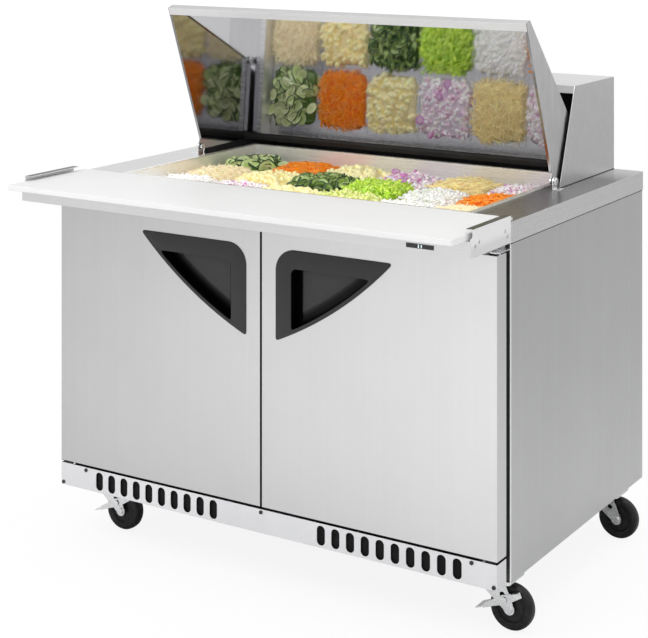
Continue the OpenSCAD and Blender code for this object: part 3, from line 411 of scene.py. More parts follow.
def poly_board():
    """White polyethylene board: milled satin face, faint knife marks, softened edges."""
    m = Mat("poly_board")
    fine = m.noise(m.scaled(240, 900, 900), 1.0, 3.0, 0.6)
    soft = m.noise(m.scaled(4, 4, 4), 1.0, 4.0, 0.6)
    cuts = m.noise(m.scaled(12, 420, 60, (0, 0, 0.5)), 1.0, 2.0, 0.5, 0.6)
    cuts2 = m.noise(m.scaled(300, 14, 60, (0, 0, -0.35)), 1.0, 2.0, 0.5, 0.6)
    k = m.math("MAXIMUM", m.remap(cuts, 0.72, 0.80, 0.0, 1.0), m.remap(cuts2, 0.73, 0.80, 0.0, 1.0))
    c = m.mix(m.remap(soft, 0.3, 0.7, 0, 1), (0.765, 0.768, 0.768), (0.800, 0.800, 0.798))
    c = m.mix(m.math("MULTIPLY", k, 0.10, clamp=True), c, (0.72, 0.72, 0.70))
    face = m.n("ShaderNodeSeparateXYZ")
    m.link(m.n("ShaderNodeNewGeometry").outputs["Normal"], face.inputs[0])
    pos = m.n("ShaderNodeSeparateXYZ")
    m.link(m.coord, pos.inputs[0])
    up = m.remap(face.outputs[2], 0.6, 0.9, 0.0, 1.0)
    # painted shade: the top face is darker towards the left
    drift = m.n("ShaderNodeCombineColor")
    for i in range(3):
        m.link(m.remap(pos.outputs[0], -0.6, 0.5, 0.855, 0.945), drift.inputs[i])
    c = m.mix(up, c, m.mix(1.0, c, drift.outputs[0], "MULTIPLY"))
    m.set(Base_Color=c, Roughness=m.remap(fine, 0.3, 0.7, 0.42, 0.52), Subsurface_Weight=0.12)
    m.b.inputs["Subsurface Radius"].default_value = (0.004, 0.004, 0.004)
    m.bump(m.math("SUBTRACT", m.math("MULTIPLY", fine, 0.4), m.math("MULTIPLY", k, 0.5, clamp=True)), 0.10, 0.00015, m.rounded(0.0015))
    return m.m


M["board"] = poly_board()


def zinc():
    m = Mat("zinc_plate")
    sp = m.voronoi(m.scaled(1, 1, 1), 260)
    n = m.noise(m.scaled(1, 1, 1), 60, 4.0, 0.6)
    c = m.mix(m.remap(n, 0.3, 0.7, 0, 1), (0.80, 0.805, 0.82), (0.93, 0.935, 0.94))
    m.set(Base_Color=c, Metallic=1.0, Roughness=m.math("ADD", m.remap(sp, 0.0, 0.8, 0.20, 0.32), m.remap(n, 0.3, 0.7, -0.04, 0.04)))
    m.bump(n, 0.08, 0.0002, m.rounded(0.0008))
    return m.m


M["zinc"] = zinc()


def hinge_mat():
    """Zinc plates at the top; the lower ones are painted black, painted shade, so that the gap under the doors reads as
    one dark line.
    """
    m = Mat("hinge_plate")
    n = m.noise(m.scaled(1, 1, 1), 60, 4.0, 0.6)
    pos = m.n("ShaderNodeSeparateXYZ")
    m.link(m.coord, pos.inputs[0])
    high = m.remap(pos.outputs[2], 0.40, 0.50, 0.0, 1.0)
    plate = m.mix(m.remap(n, 0.3, 0.7, 0, 1), (0.80, 0.80, 0.82), (0.92, 0.92, 0.93))
    m.set(Base_Color=m.mix(high, m.mix(m.remap(n, 0.3, 0.7, 0, 1), grey(0.008), grey(0.014)), plate), Metallic=high,
          Roughness=m.math("ADD", m.remap(n, 0.3, 0.7, 0.24, 0.34), m.remap(pos.outputs[2], 0.40, 0.50, 0.45, 0.0)))
    m.link(m.remap(pos.outputs[2], 0.40, 0.50, 0.08, 0.5), m.b.inputs["Specular IOR Level"])
    m.bump(n, 0.08, 0.0002, m.rounded(0.0006))
    return m.m


M["hinge"] = hinge_mat()


def rubber(name, col, rough):
    m = Mat(name)
    n = m.noise(m.scaled(1, 1, 1), 500, 3.0, 0.6)
    d = m.noise(m.scaled(1, 1, 1), 34, 5.0, 0.7)
    c = m.mix(m.remap(d, 0.45, 0.8, 0, 1), col, tuple(min(1, x * 2.0 + 0.012) for x in col))
    m.set(Base_Color=c, Roughness=m.remap(d, 0.3, 0.7, rough - 0.05, rough + 0.06))
    m.bump(n, 0.12, 0.00015, m.rounded(0.0015))
    return m.m


wheel = rubber("wheel_poly", (0.007, 0.007, 0.0075), 0.30)
wheel.node_tree.nodes["Principled BSDF"].inputs["Specular IOR Level"].default_value = 0.28
M["wheel"] = wheel
M["gasket"] = rubber("gasket_rubber", (0.006, 0.006, 0.0066), 0.72)


def foam():
    m = Mat("pu_foam")
    v = m.voronoi(m.scaled(1, 1, 1), 420)
    n = m.noise(m.scaled(1, 1, 1), 40, 5.0, 0.7)
    m.set(Base_Color=m.mix(m.remap(n, 0.3, 0.7, 0, 1), (0.78, 0.66, 0.38), (0.88, 0.79, 0.52)), Roughness=0.92, Subsurface_Weight=0.05)
    m.bump(m.math("ADD", v, n), 0.6, 0.0012)
    return m.m


M["foam"] = foam()


def fins():
    m = Mat("fin_aluminium")
    n = m.noise(m.scaled(400, 30, 400), 1.0, 3.0, 0.6)
    m.set(Base_Color=m.mix(m.remap(n, 0.3, 0.7, 0, 1), (0.62, 0.63, 0.64), (0.78, 0.79, 0.80)), Metallic=1.0, Roughness=m.remap(n, 0.3, 0.7, 0.3, 0.42))
    m.bump(n, 0.15, 0.0002)
    return m.m


M["fins"] = fins()


def coated_wire():
    m = Mat("epoxy_wire")
    n = m.noise(m.scaled(1, 1, 1), 220, 3.0, 0.6)
    m.set(Base_Color=m.mix(m.remap(n, 0.3, 0.7, 0, 1), (0.76, 0.77, 0.78), (0.84, 0.85, 0.86)), Roughness=m.remap(n, 0.3, 0.7, 0.26, 0.38))
    m.b.inputs["Coat Weight"].default_value = 0.3
    m.bump(n, 0.12, 0.0003)
    return m.m


M["wire"] = coated_wire()

LOOK = {
    "cabinet_shell": "shell", "cabinet_insulation": "foam", "cabinet_liner": "inner", "front_frame": "black",
    "base_rails": "rails", "front_grille": "grille", "grille_screws": "screwblack", "worktop": "worktop",
    "worktop_insulation": "foam", "well_rim": "rim", "pan_well": "well", "pan_divider_bars": "inner",
    "food_pans": "pan", "board_shelf": "shelf", "shelf_screws": "zinc", "display": "display",
    "housing_cover": "housing", "lid_hinge_brackets": "zinc", "door_hinge_brackets": "hinge",
    "wire_shelves": "wire", "shelf_clips": "zinc", "evaporator_coil": "fins", "evaporator_cover": "white",
    "fan_motors": "black", "compressor": "compressor", "condenser_coil": "fins", "rear_grille": "rear",
    "caster_plates": "zinc", "lid_panel": "lid_out", "lid_core": "foam", "lid_liner": "liner",
    "lid_wings": "wing", "lid_gasket": "gasket", "lid_pins": "zinc", "cutting_board": "board",
    "evaporator_fan": "black", "condenser_fan": "black",
}
for s in ("left", "right"):
    LOOK.update({f"door_{s}_skin": "door", f"door_{s}_core": "foam", f"door_{s}_liner": "white",
                 f"door_{s}_gasket": "gasket", f"door_{s}_handle": "handle", f"door_{s}_hinge_pins": "hinge"})
for c in ("fl", "fr", "rl", "rr"):
    LOOK[f"caster_{c}_fork"] = "zinc"
    LOOK[f"caster_{c}_wheel"] = "wheel"
for c in ("fl", "fr"):
    LOOK[f"caster_{c}_pedal"] = "zinc"
for name, o in N.items():
    o.data.materials.clear()
    o.data.materials.append(M[LOOK[name]])


# ------------------------------------------------------------------ mesh helpers
def finish_bm(bm, name, mats, body, smooth=True):
    bmesh.ops.recalc_face_normals(bm, faces=bm.faces)
    me = bpy.data.meshes.new(name)
    bm.to_mesh(me)
    bm.free()
    for m in mats:
        me.materials.append(m)
    o = bpy.data.objects.new(name, me)
    scene.collection.objects.link(o)
    for p in me.polygons:
        p.use_smooth = smooth
    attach(o, body)
    return o


# ------------------------------------------------------------------ food
def food_mat(name, rough, sss=0.15, bump=0.3, scale=260, var=0.22, wet=0.35):
    """Cut food: colour from the piece, broken up by fibre noise, with a wet sheen."""
    m = Mat(name)
    a = m.n("ShaderNodeAttribute", attribute_name="Col")
    n = m.noise(m.scaled(1, 1, 1), scale, 4.0, 0.65)
    f = m.noise(m.scaled(1, 1, 1), scale * 0.22, 3.0, 0.6, 0.8)
    hs = m.n("ShaderNodeHueSaturation")
    m.link(a.outputs["Color"], hs.inputs["Color"])
    m.link(m.math("ADD", m.remap(n, 0.3, 0.7, 1 - var * 0.5, 1 + var * 0.5), m.remap(f, 0.3, 0.7, -var * 0.3, var * 0.3)), hs.inputs["Value"])
    m.link(m.remap(f, 0.3, 0.7, 0.92, 1.08), hs.inputs["Saturation"])
    m.set(Base_Color=hs.outputs[0], Roughness=m.remap(n, 0.3, 0.7, rough - 0.08, rough + 0.10), Subsurface_Weight=sss)
    # painted light: the food glows faintly (emission 0.13) so that it is not lost in shade
    m.link(hs.outputs[0], m.b.inputs["Emission Color"])
    m.b.inputs["Emission Strength"].default_value = 0.13
    m.b.inputs["Subsurface Radius"].default_value = (0.003, 0.002, 0.0015)
    m.b.inputs["Coat Weight"].default_value = wet
    m.b.inputs["Coat Roughness"].default_value = 0.22
    m.bump(n, bump, 0.0005)
    return m.m


FM = {
    "shred": food_mat("food_shred", 0.5, 0.2, 0.25, 420, 0.14, 0.1),
    "moist": food_mat("food_moist", 0.4, 0.25, 0.35, 240, 0.16, 0.4),
    "leaf": food_mat("food_leaf", 0.42, 0.12, 0.4, 300, 0.30, 0.3),
}

P_COLS, P_ROWS = 6, 3
well_lo, well_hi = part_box("pan_well")
pans_lo, pans_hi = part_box("food_pans")
pitch_x = (pans_hi.x - pans_lo.x + 0.0012) / P_COLS
pitch_y = (pans_hi.y - pans_lo.y + 0.0012) / P_ROWS
PX = [pans_lo.x - 0.0006 + pitch_x * (i + 0.5) for i in range(P_COLS)]
PY = [pans_lo.y - 0.0006 + pitch_y * (i + 0.5) for i in range(P_ROWS)]
rim_z, pan_bottom = pans_hi.z, pans_lo.z + 0.0012
HX, HY = pitch_x / 2 - 0.0112, pitch_y / 2 - 0.0122   # inside of a pan
TOP_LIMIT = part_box("worktop")[1].z - 0.011


def squircle(u, v):
    """maps the square [-1,1]^2 to a rounded square, so a grid fits a pan with round corners"""
    k = 0.13
    return u * math.sqrt(max(0.0, 1 - k * v * v * v * v)), v * math.sqrt(max(0.0, 1 - k * u * u * u * u))


class Heap:
    def __init__(self, name, r, c, seed, level, crown, col, lump=0.004, lean=(0, 0)):
        self.rng = random.Random(seed)
        self.name, self.cx, self.cy = name, PX[c], PY[r]
        self.level, self.crown, self.lump, self.seed, self.lean = level, crown, lump, seed, lean
        self.bm = bmesh.new()
        self.layer = self.bm.loops.layers.float_color.new("Col")
        self.mound(col)

    def h(self, u, v):
        d = min(1.0, math.sqrt((u * u + v * v) / 1.7))
        z = rim_z + self.level + 0.0065 + self.crown * (1 - d * d) + self.lean[0] * u + self.lean[1] * v
        z += self.lump * noise.noise(Vector((u * 2.6 + self.seed * 3.1, v * 2.6, self.seed * 1.7)))
        z += self.lump * 0.5 * noise.noise(Vector((u * 6.1, v * 6.1 + self.seed, 4.2)))
        edge = max(abs(u), abs(v))
        if edge > 0.90:
            z -= (edge - 0.90) / 0.14 * 0.0035
        return z

    def tint(self, col, spread):
        k = 1 + self.rng.uniform(-spread, spread)
        return [max(0.0, min(1.0, c * k * (1 + self.rng.uniform(-spread, spread) * 0.3))) for c in col]

    def colour(self, faces, col):
        for f in faces:
            for l in f.loops:
                l[self.layer] = (*col, 1.0)

    def mound(self, col, n=22):
        bm, top, bot = self.bm, [], []
        zb = pan_bottom + 0.0008
        for j in range(n + 1):
            for i in range(n + 1):
                u, v = -1 + 2 * i / n, -1 + 2 * j / n
                a, b = squircle(u, v)
                x, y = self.cx + a * (HX - 0.0012), self.cy + b * (HY - 0.0012)
                top.append(bm.verts.new((x, y, min(TOP_LIMIT, self.h(u, v) - 0.004))))
                bot.append(bm.verts.new((x, y, zb)))
        k = n + 1
        made = []
        for j in range(n):
            for i in range(n):
                a = j * k + i
                made.append(bm.faces.new((top[a], top[a + 1], top[a + k + 1], top[a + k])))
                made.append(bm.faces.new((bot[a], bot[a + k], bot[a + k + 1], bot[a + 1])))
        ring = [i for i in range(k)] + [j * k + n for j in range(1, k)] + [n * k + i for i in range(n - 1, -1, -1)] + [j * k for j in range(n - 1, 0, -1)]
        for q in range(len(ring)):
            a, b = ring[q], ring[(q + 1) % len(ring)]
            made.append(bm.faces.new((top[a], bot[a], bot[b], top[b])))
        for f in made:
            c = self.tint(col, 0.10)
            for l in f.loops:
                l[self.layer] = (*c, 1.0)

    def spot(self, reach=0.93):
        reach *= 1.19
        u, v = self.rng.uniform(-reach, reach), self.rng.uniform(-reach, reach)
        a, b = squircle(u, v)
        return u, v, Vector((self.cx + a * HX, self.cy + b * HY, self.h(u, v)))

    def place(self, pts, faces, cols, at, rot):
        """adds one closed element; keeps it inside the pan opening and below the lid"""
        bm = self.bm
        vs = []
        for p in pts:
            q = rot @ Vector(p) + at
            q.x = max(self.cx - pitch_x / 2 - 0.003, min(self.cx + pitch_x / 2 + 0.003, q.x)) if q.z > rim_z + 0.001 else max(self.cx - HX + 0.002, min(self.cx + HX - 0.002, q.x))
            q.y = max(self.cy - pitch_y / 2 - 0.003, min(self.cy + pitch_y / 2 + 0.003, q.y)) if q.z > rim_z + 0.001 else max(self.cy - HY + 0.002, min(self.cy + HY - 0.002, q.y))
            q.z = min(q.z, TOP_LIMIT + 0.002)
            vs.append(bm.verts.new(q))
        for k, f in enumerate(faces):
            try:
                face = bm.faces.new([vs[i] for i in f])
            except ValueError:
                continue
            for l, i in zip(face.loops, f):
                l[self.layer] = (*cols[i], 1.0)

    def rot(self, flat=1.0):
        r = self.rng
        return Matrix.Rotation(r.uniform(0, 2 * math.pi), 3, "Z") @ Matrix.Rotation(r.gauss(0, 0.5) * flat, 3, "X") @ Matrix.Rotation(r.gauss(0, 0.5) * flat, 3, "Y")

    def shreds(self, n, length, w, t, col, spread=0.12, curl=0.9, flat=0.45, lift=0.002, seg=6):
        for _ in range(int(n * 1.2)):
            _, _, at = self.spot(0.9)
            L = length * self.rng.uniform(0.6, 1.25)
            ang = curl * self.rng.uniform(-1, 1)
            tw = self.rng.uniform(-0.6, 0.6)
            pts, faces = [], []
            x = y = 0.0
            h = 0.0
            step = L / seg
            line = []
            for i in range(seg + 1):
                line.append((x, y, h))
                x += step * math.cos(h)
                y += step * math.sin(h)
                h += ang / seg
            mx, my = line[seg // 2][0], line[seg // 2][1]
            c = self.tint(col, spread)
            for i, (x, y, hh) in enumerate(line):
                k = 1.0 if 0 < i < seg else 0.55
                n2 = (-math.sin(hh), math.cos(hh))
                zz = 0.0015 * math.sin(i / seg * math.pi) + tw * 0.002 * (i / seg - 0.5)
                for a, b in ((-1, -1), (1, -1), (1, 1), (-1, 1)):
                    pts.append((x - mx + n2[0] * a * w / 2 * k, y - my + n2[1] * a * w / 2 * k, zz + b * t / 2 * k))
            for i in range(seg):
                a = i * 4
                for q in range(4):
                    faces.append((a + q, a + (q + 1) % 4, a + 4 + (q + 1) % 4, a + 4 + q))
            faces.append((3, 2, 1, 0))
            e = seg * 4
            faces.append((e, e + 1, e + 2, e + 3))
            self.place(pts, faces, [c] * len(pts), at + Vector((0, 0, lift + self.rng.uniform(0, 0.004))), self.rot(flat))

    def chips(self, n, size, t, cols, spread=0.08, flat=0.9, lift=0.002, bend=0.35):
        """curved little slabs, like diced onion"""
        for _ in range(int(n * 1.3)):
            _, _, at = self.spot(0.9)
            c1, c2 = self.rng.choice(cols)
            c1, c2 = self.tint(c1, spread), self.tint(c2, spread)
            a, b = size * self.rng.uniform(0.6, 1.2), size * self.rng.uniform(0.5, 0.95)
            pts, cc = [], []
            nx, ny = 4, 2
            bn = bend * self.rng.uniform(0.5, 1.4)
            for side in (1, -1):
                for j in range(ny + 1):
                    for i in range(nx + 1):
                        u, v = i / nx - 0.5, j / ny - 0.5
                        sh = 1 - 0.25 * abs(v) * 2
                        x, y = a * u * sh, b * v
                        z = -bn * a * (u * 2) ** 2 * 0.5 + side * t / 2 * (0.7 if i in (0, nx) or j in (0, ny) else 1.0)
                        pts.append((x, y, z))
                        cc.append(c2 if j == ny or side < 0 else c1)
            faces = []
            k = nx + 1
            off = k * (ny + 1)
            for j in range(ny):
                for i in range(nx):
                    p = j * k + i
                    faces.append((p, p + 1, p + k + 1, p + k))
                    faces.append((off + p, off + p + k, off + p + k + 1, off + p + 1))
            ring = [i for i in range(k)] + [j * k + nx for j in range(1, ny + 1)] + [ny * k + i for i in range(nx - 1, -1, -1)] + [j * k for j in range(ny - 1, 0, -1)]
            for q in range(len(ring)):
                i0, i1 = ring[q], ring[(q + 1) % len(ring)]
                faces.append((i0, off + i0, off + i1, i1))
            self.place(pts, faces, cc, at + Vector((0, 0, lift + self.rng.uniform(0, 0.005))), self.rot(flat))

    def discs(self, n, r, t, face, mid, skin, spread=0.08, flat=0.7, lift=0.003, cut=1.0, tilt=None):
        """round or half slices with a skin: seeds ring, flesh, thin dark rim"""
        seg = 20
        for _ in range(int(n * 1.35)):
            _, _, at = self.spot(0.84)
            R = r * self.rng.uniform(0.85, 1.12)
            f1, f2, f3 = self.tint(face, spread), self.tint(mid, spread), self.tint(skin, spread * 1.6)
            oval = self.rng.uniform(0.78, 1.0)
            pts, cc, faces = [], [], []
            rings = ((0.0, f2), (0.36, f2), (0.60, f1), (0.90, f1), (0.985, f3))
            arc = 2 * math.pi * cut
            m = seg if cut >= 1 else seg + 1
            for side in (1, -1):
                base = len(pts)
                pts.append((0, 0, side * t / 2)); cc.append(f2)
                for rr, col in rings[1:]:
                    for i in range(m):
                        an = arc * i / seg
                        pts.append((R * rr * math.cos(an), R * rr * oval * math.sin(an), side * t / 2 * (0.8 if rr > 0.95 else 1)))
                        cc.append(col)
                lim = m if cut >= 1 else m - 1
                for i in range(lim):
                    j = (i + 1) % m
                    tri = (base, base + 1 + i, base + 1 + j)
                    faces.append(tri if side > 0 else tri[::-1])
                    for q in range(3):
                        a = base + 1 + q * m
                        quad = (a + i, a + m + i, a + m + j, a + j)
                        faces.append(quad if side > 0 else quad[::-1])
            half = len(pts) // 2
            a = 1 + 3 * m
            lim = m if cut >= 1 else m - 1
            for i in range(lim):
                j = (i + 1) % m
                faces.append((a + i, half + a + i, half + a + j, a + j))
            if cut < 1:
                for e0 in (0, m - 1):
                    prev = 0
                    for q in range(4):
                        cur = 1 + q * m + e0
                        faces.append((prev, cur, half + cur, half + prev))
                        prev = cur
            rot = self.rot(flat) if tilt is None else self.rot(0.35) @ Matrix.Rotation(tilt * self.rng.uniform(0.5, 1.2), 3, "X")
            self.place(pts, faces, cc, at + Vector((0, 0, lift + self.rng.uniform(0, 0.006))), rot)

    def chunks(self, n, size, col, spread=0.10, lift=0.001, squat=0.75):
        """wedge chunks with a ridged, slightly rounded body"""
        for _ in range(int(n * 1.3)):
            _, _, at = self.spot(0.88)
            c = self.tint(col, spread)
            c2 = [min(1, x * 1.12) for x in c]
            sx, sy, sz = (size * self.rng.uniform(0.6, 1.15) for _ in range(3))
            taper = self.rng.uniform(0.35, 0.9)
            pts, cc, faces = [], [], []
            nu, nv = 10, 5
            for j in range(nv + 1):
                v = j / nv
                for i in range(nu):
                    an = 2 * math.pi * i / nu
                    ca, sa = math.cos(an), math.sin(an)
                    q = 1.0 / max(abs(ca), abs(sa)) ** 0.75
                    rr = (0.5 if 0 < j < nv else 0.36) * q * (1 - (1 - taper) * v)
                    rr *= 1 + 0.07 * math.sin(an * 3 + v * 4)
                    pts.append((sx * rr * ca, sy * rr * sa, sz * squat * (v - 0.5)))
                    cc.append(c if (i + j) % 3 else c2)
            for j in range(nv):
                for i in range(nu):
                    a = j * nu + i
                    b = j * nu + (i + 1) % nu
                    faces.append((a, b, b + nu, a + nu))
            faces.append(tuple(range(nu))[::-1])
            faces.append(tuple(nv * nu + i for i in range(nu)))
            self.place(pts, faces, cc, at + Vector((0, 0, lift + self.rng.uniform(0, 0.006))), self.rot(1.4))

    def leaves(self, n, length, w, t, col, spread=0.18, lift=0.003, seg=8):
        """ruffled leaf strips"""
        for _ in range(int(n * 1.2)):
            _, _, at = self.spot(0.9)
            L, W = length * self.rng.uniform(0.6, 1.2), w * self.rng.uniform(0.5, 1.2)
            c = self.tint(col, spread)
            pale = [min(1, x * 1.25 + 0.12) for x in c]
            ph, am, cu = self.rng.uniform(0, 6.3), self.rng.uniform(0.002, 0.005), self.rng.uniform(-0.5, 0.5)
            pts, cc, faces = [], [], []
            for side in (1, -1):
                for i in range(seg + 1):
                    u = i / seg - 0.5
                    for k in (-1, 0, 1):
                        ww = W / 2 * (1 - (2 * abs(u)) ** 3 * 0.7)
                        pts.append((L * u, k * ww + cu * L * (u * u - 0.1), am * math.sin(u * 11 + ph + k * 1.3) + side * t / 2))
                        cc.append(pale if k == 0 else c)
            m = (seg + 1) * 3
            for i in range(seg):
                for k in range(2):
                    a = i * 3 + k
                    faces.append((a, a + 3, a + 4, a + 1))
                    faces.append((m + a, m + a + 1, m + a + 4, m + a + 3))
                faces.append((i * 3, m + i * 3, m + i * 3 + 3, i * 3 + 3))
                faces.append((i * 3 + 2, i * 3 + 5, m + i * 3 + 5, m + i * 3 + 2))
            for e0 in (0, seg * 3):
                for k in range(2):
                    faces.append((e0 + k, e0 + k + 1, m + e0 + k + 1, m + e0 + k))
            self.place(pts, faces, cc, at + Vector((0, 0, lift + self.rng.uniform(0, 0.007))), self.rot(0.8))

    def done(self, mat):
        o = finish_bm(self.bm, self.name, [mat], "cabinet")
        return o


CREAM, YELLOW, ORANGE = (0.97, 0.86, 0.62), (0.98, 0.84, 0.46), (1.0, 0.34, 0.02)
WHITE, PINK, PURPLE = (0.99, 0.98, 0.95), (0.96, 0.76, 0.84), (0.66, 0.26, 0.54)
DKGREEN, GREEN, PALE = (0.012, 0.055, 0.010), (0.42, 0.66, 0.03), (0.82, 0.88, 0.48)


def heap(kind, r, c, seed):
    nm = f"food_r{r + 1}_c{c + 1}_{kind}"
    if kind == "cheese_shreds":
        h = Heap(nm, r, c, seed, 0.001, 0.014, tuple(x * 0.85 for x in CREAM))
        h.shreds(360, 0.036, 0.0021, 0.0018, (1.0, 0.87, 0.60), 0.10)
        return h.done(FM["shred"])
    if kind == "yellow_shreds":
        h = Heap(nm, r, c, seed, 0.001, 0.016, tuple(x * 0.8 for x in YELLOW))
        h.shreds(340, 0.038, 0.0020, 0.0018, (1.0, 0.83, 0.44), 0.12)
        return h.done(FM["shred"])
    if kind == "white_shreds":
        h = Heap(nm, r, c, seed, 0.001, 0.014, tuple(x * 0.85 for x in WHITE))
        h.shreds(300, 0.034, 0.0024, 0.0018, WHITE, 0.05)
        return h.done(FM["shred"])
    if kind == "carrot_shreds":
        h = Heap(nm, r, c, seed, 0.0, 0.016, (0.95, 0.26, 0.012))
        h.shreds(420, 0.026, 0.0024, 0.0020, ORANGE, 0.14, curl=1.3)
        return h.done(FM["moist"])
    if kind == "pink_onion":
        h = Heap(nm, r, c, seed, 0.0, 0.014, (0.88, 0.78, 0.80))
        h.chips(210, 0.0135, 0.0024, [(WHITE, PINK), (WHITE, WHITE), (PINK, PURPLE), (WHITE, (0.90, 0.80, 0.88))])
        return h.done(FM["moist"])
    if kind == "purple_onion":
        h = Heap(nm, r, c, seed, 0.0, 0.016, (0.86, 0.78, 0.84))
        h.chips(190, 0.0150, 0.0026, [(WHITE, PINK), (WHITE, (0.74, 0.66, 0.80)), (WHITE, WHITE), (PINK, PURPLE)])
        h.discs(3, 0.014, 0.008, (0.70, 0.34, 0.62), (0.80, 0.6, 0.76), PURPLE, 0.1, lift=0.006)
        return h.done(FM["moist"])
    if kind == "white_onion":
        h = Heap(nm, r, c, seed, 0.0, 0.014, (0.93, 0.92, 0.88))
        h.chips(260, 0.0120, 0.0024, [(WHITE, WHITE), (WHITE, (0.84, 0.86, 0.76))])
        return h.done(FM["moist"])
    if kind == "cucumber":
        h = Heap(nm, r, c, seed, 0.0, 0.014, (0.10, 0.20, 0.04))
        h.discs(34, 0.0185, 0.0040, (0.72, 0.78, 0.44), (0.62, 0.72, 0.34), DKGREEN, 0.08)
        h.discs(16, 0.0185, 0.0050, (0.60, 0.72, 0.34), (0.50, 0.64, 0.24), DKGREEN, 0.08, tilt=1.2)
        return h.done(FM["moist"])
    if kind == "dark_cucumber":
        h = Heap(nm, r, c, seed, 0.0, 0.016, (0.025, 0.075, 0.015))
        h.discs(70, 0.0165, 0.0048, (0.30, 0.42, 0.12), (0.24, 0.36, 0.10), DKGREEN, 0.16, cut=0.5, tilt=1.3)
        h.discs(18, 0.0150, 0.0045, (0.50, 0.62, 0.26), (0.42, 0.55, 0.20), DKGREEN, 0.1, cut=0.5)
        return h.done(FM["moist"])
    if kind == "yellow_chunks":
        h = Heap(nm, r, c, seed, 0.0, 0.013, (0.94, 0.80, 0.46))
        h.chunks(80, 0.019, (0.99, 0.85, 0.46), 0.09)
        return h.done(FM["moist"])
    if kind == "cream_chunks":
        h = Heap(nm, r, c, seed, 0.0, 0.016, (0.94, 0.84, 0.50))
        h.chunks(84, 0.020, (1.0, 0.88, 0.50), 0.08)
        return h.done(FM["moist"])
    if kind == "lettuce":
        h = Heap(nm, r, c, seed, 0.0, 0.018, (0.30, 0.48, 0.03))
        h.leaves(240, 0.034, 0.0070, 0.0008, (0.52, 0.78, 0.06), 0.24)
        return h.done(FM["leaf"])
    if kind == "pale_lettuce":
        h = Heap(nm, r, c, seed, 0.0, 0.013, (0.66, 0.74, 0.26))
        h.leaves(220, 0.032, 0.0075, 0.0009, (0.78, 0.88, 0.28), 0.18)
        return h.done(FM["leaf"])
    raise ValueError(kind)


MENU = [
    ["white_shreds", "pink_onion", "yellow_chunks", "pale_lettuce", "white_onion", "cheese_shreds"],
    ["cheese_shreds", "yellow_chunks", "dark_cucumber", "lettuce", "white_onion", "carrot_shreds"],
    ["cucumber", "carrot_shreds", "cream_chunks", "purple_onion", "yellow_shreds", "pink_onion"],
]
for r in range(P_ROWS):
    for c in range(P_COLS):
        heap(MENU[r][c], r, c, 11 + r * 6 + c)


# ------------------------------------------------------------------ display digits
def seven_seg(name, cx, cz, y, h, digit):
    """one seven-segment digit, standing on the display's front face"""
    on = {3: "abgcd"}[digit]
    w, t = h * 0.52, h * 0.13
    seg = {
        "a": (-w / 2 + t * .6, h / 2 - t, w / 2 - t * .6, h / 2), "g": (-w / 2 + t * .6, -t / 2, w / 2 - t * .6, t / 2), "d": (-w / 2 + t * .6, -h / 2, w / 2 - t * .6, -h / 2 + t),
        "b": (w / 2 - t, t * .35, w / 2, h / 2 - t * .5), "c": (w / 2 - t, -h / 2 + t * .5, w / 2, -t * .35),
    }
    bm = bmesh.new()
    for s in on:
        x0, z0, x1, z1 = seg[s]
        c = t * 0.3
        if x1 - x0 > z1 - z0:
            ring = [(x0 + c, z0), (x1 - c, z0), (x1, (z0 + z1) / 2), (x1 - c, z1), (x0 + c, z1), (x0, (z0 + z1) / 2)]
        else:
            ring = [(x0, z0 + c), ((x0 + x1) / 2, z0), (x1, z0 + c), (x1, z1 - c), ((x0 + x1) / 2, z1), (x0, z1 - c)]
        f = [bm.verts.new((cx + a, y, cz + b)) for a, b in ring]
        g = [bm.verts.new((cx + a, y - 0.0003, cz + b)) for a, b in ring]
        bm.faces.new(f[::-1])
        bm.faces.new(g)
        for i in range(6):
            j = (i + 1) % 6
            bm.faces.new((f[i], f[j], g[j], g[i]))
    m = Mat("digit_light_" + name)
    n = m.noise(m.scaled(1, 1, 1), 2000, 2.0)
    m.set(Base_Color=(0.7, 0.85, 0.9, 1), Roughness=0.3, Emission_Color=m.mix(m.remap(n, 0.3, 0.7, 0, 1), (0.75, 0.92, 1.0), (0.9, 0.98, 1.0)))
    m.b.inputs["Emission Strength"].default_value = 1.1
    return finish_bm(bm, name, [m.m], "cabinet", False)


d_lo, d_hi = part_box("display")
dz, dcx = (d_lo.z + d_hi.z) / 2, (d_lo.x + d_hi.x) / 2
seven_seg("display_digit_1", dcx - 0.0035, dz, d_lo.y - 0.0001, 0.0066, 3)
seven_seg("display_digit_2", dcx + 0.0035, dz, d_lo.y - 0.0001, 0.0066, 3)


# ------------------------------------------------------------------ small dark parts
def block(name, lo, hi, mat, body, chamfer=0.0004):
    bm = bmesh.new()
    bmesh.ops.create_cube(bm, size=1.0)
    for v in bm.verts:
        v.co = Vector((lo[k] + (hi[k] - lo[k]) * (v.co[k] + 0.5) for k in range(3)))
    bmesh.ops.bevel(bm, geom=list(bm.edges), offset=chamfer, segments=2, profile=0.5, affect="EDGES")
    return finish_bm(bm, name, [mat], body, False)


sh_lo, sh_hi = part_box("cabinet_shell")
gr_lo, gr_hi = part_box("front_grille")
# black strip under the worktop's side band: a painted shadow line for the seam there
for nm, sx in (("left", -1), ("right", 1)):
    xs = sorted((sx * (sh_hi.x + 0.0001), sx * (sh_hi.x + 0.0011)))
    block("band_painted_shadow_" + nm, (xs[0], sh_lo.y + 0.001, sh_hi.z - 0.0024), (xs[1], sh_hi.y - 0.004, sh_hi.z - 0.0001), M["gasket"], "cabinet", 0.0003)


h_lo, h_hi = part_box("housing_cover")
w_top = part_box("worktop")[1].z
# black strips along the foot of the housing's side sheets: a painted shadow line where they meet the worktop
for nm, sx in (("left", -1), ("right", 1)):
    xs = sorted((sx * (h_hi.x + 0.0001), sx * (h_hi.x + 0.0013)))
    block("housing_painted_shadow_" + nm, (xs[0], h_lo.y + 0.002, w_top + 0.0001), (xs[1], h_hi.y - 0.001, w_top + 0.0014), M["gasket"], "cabinet", 0.0003)


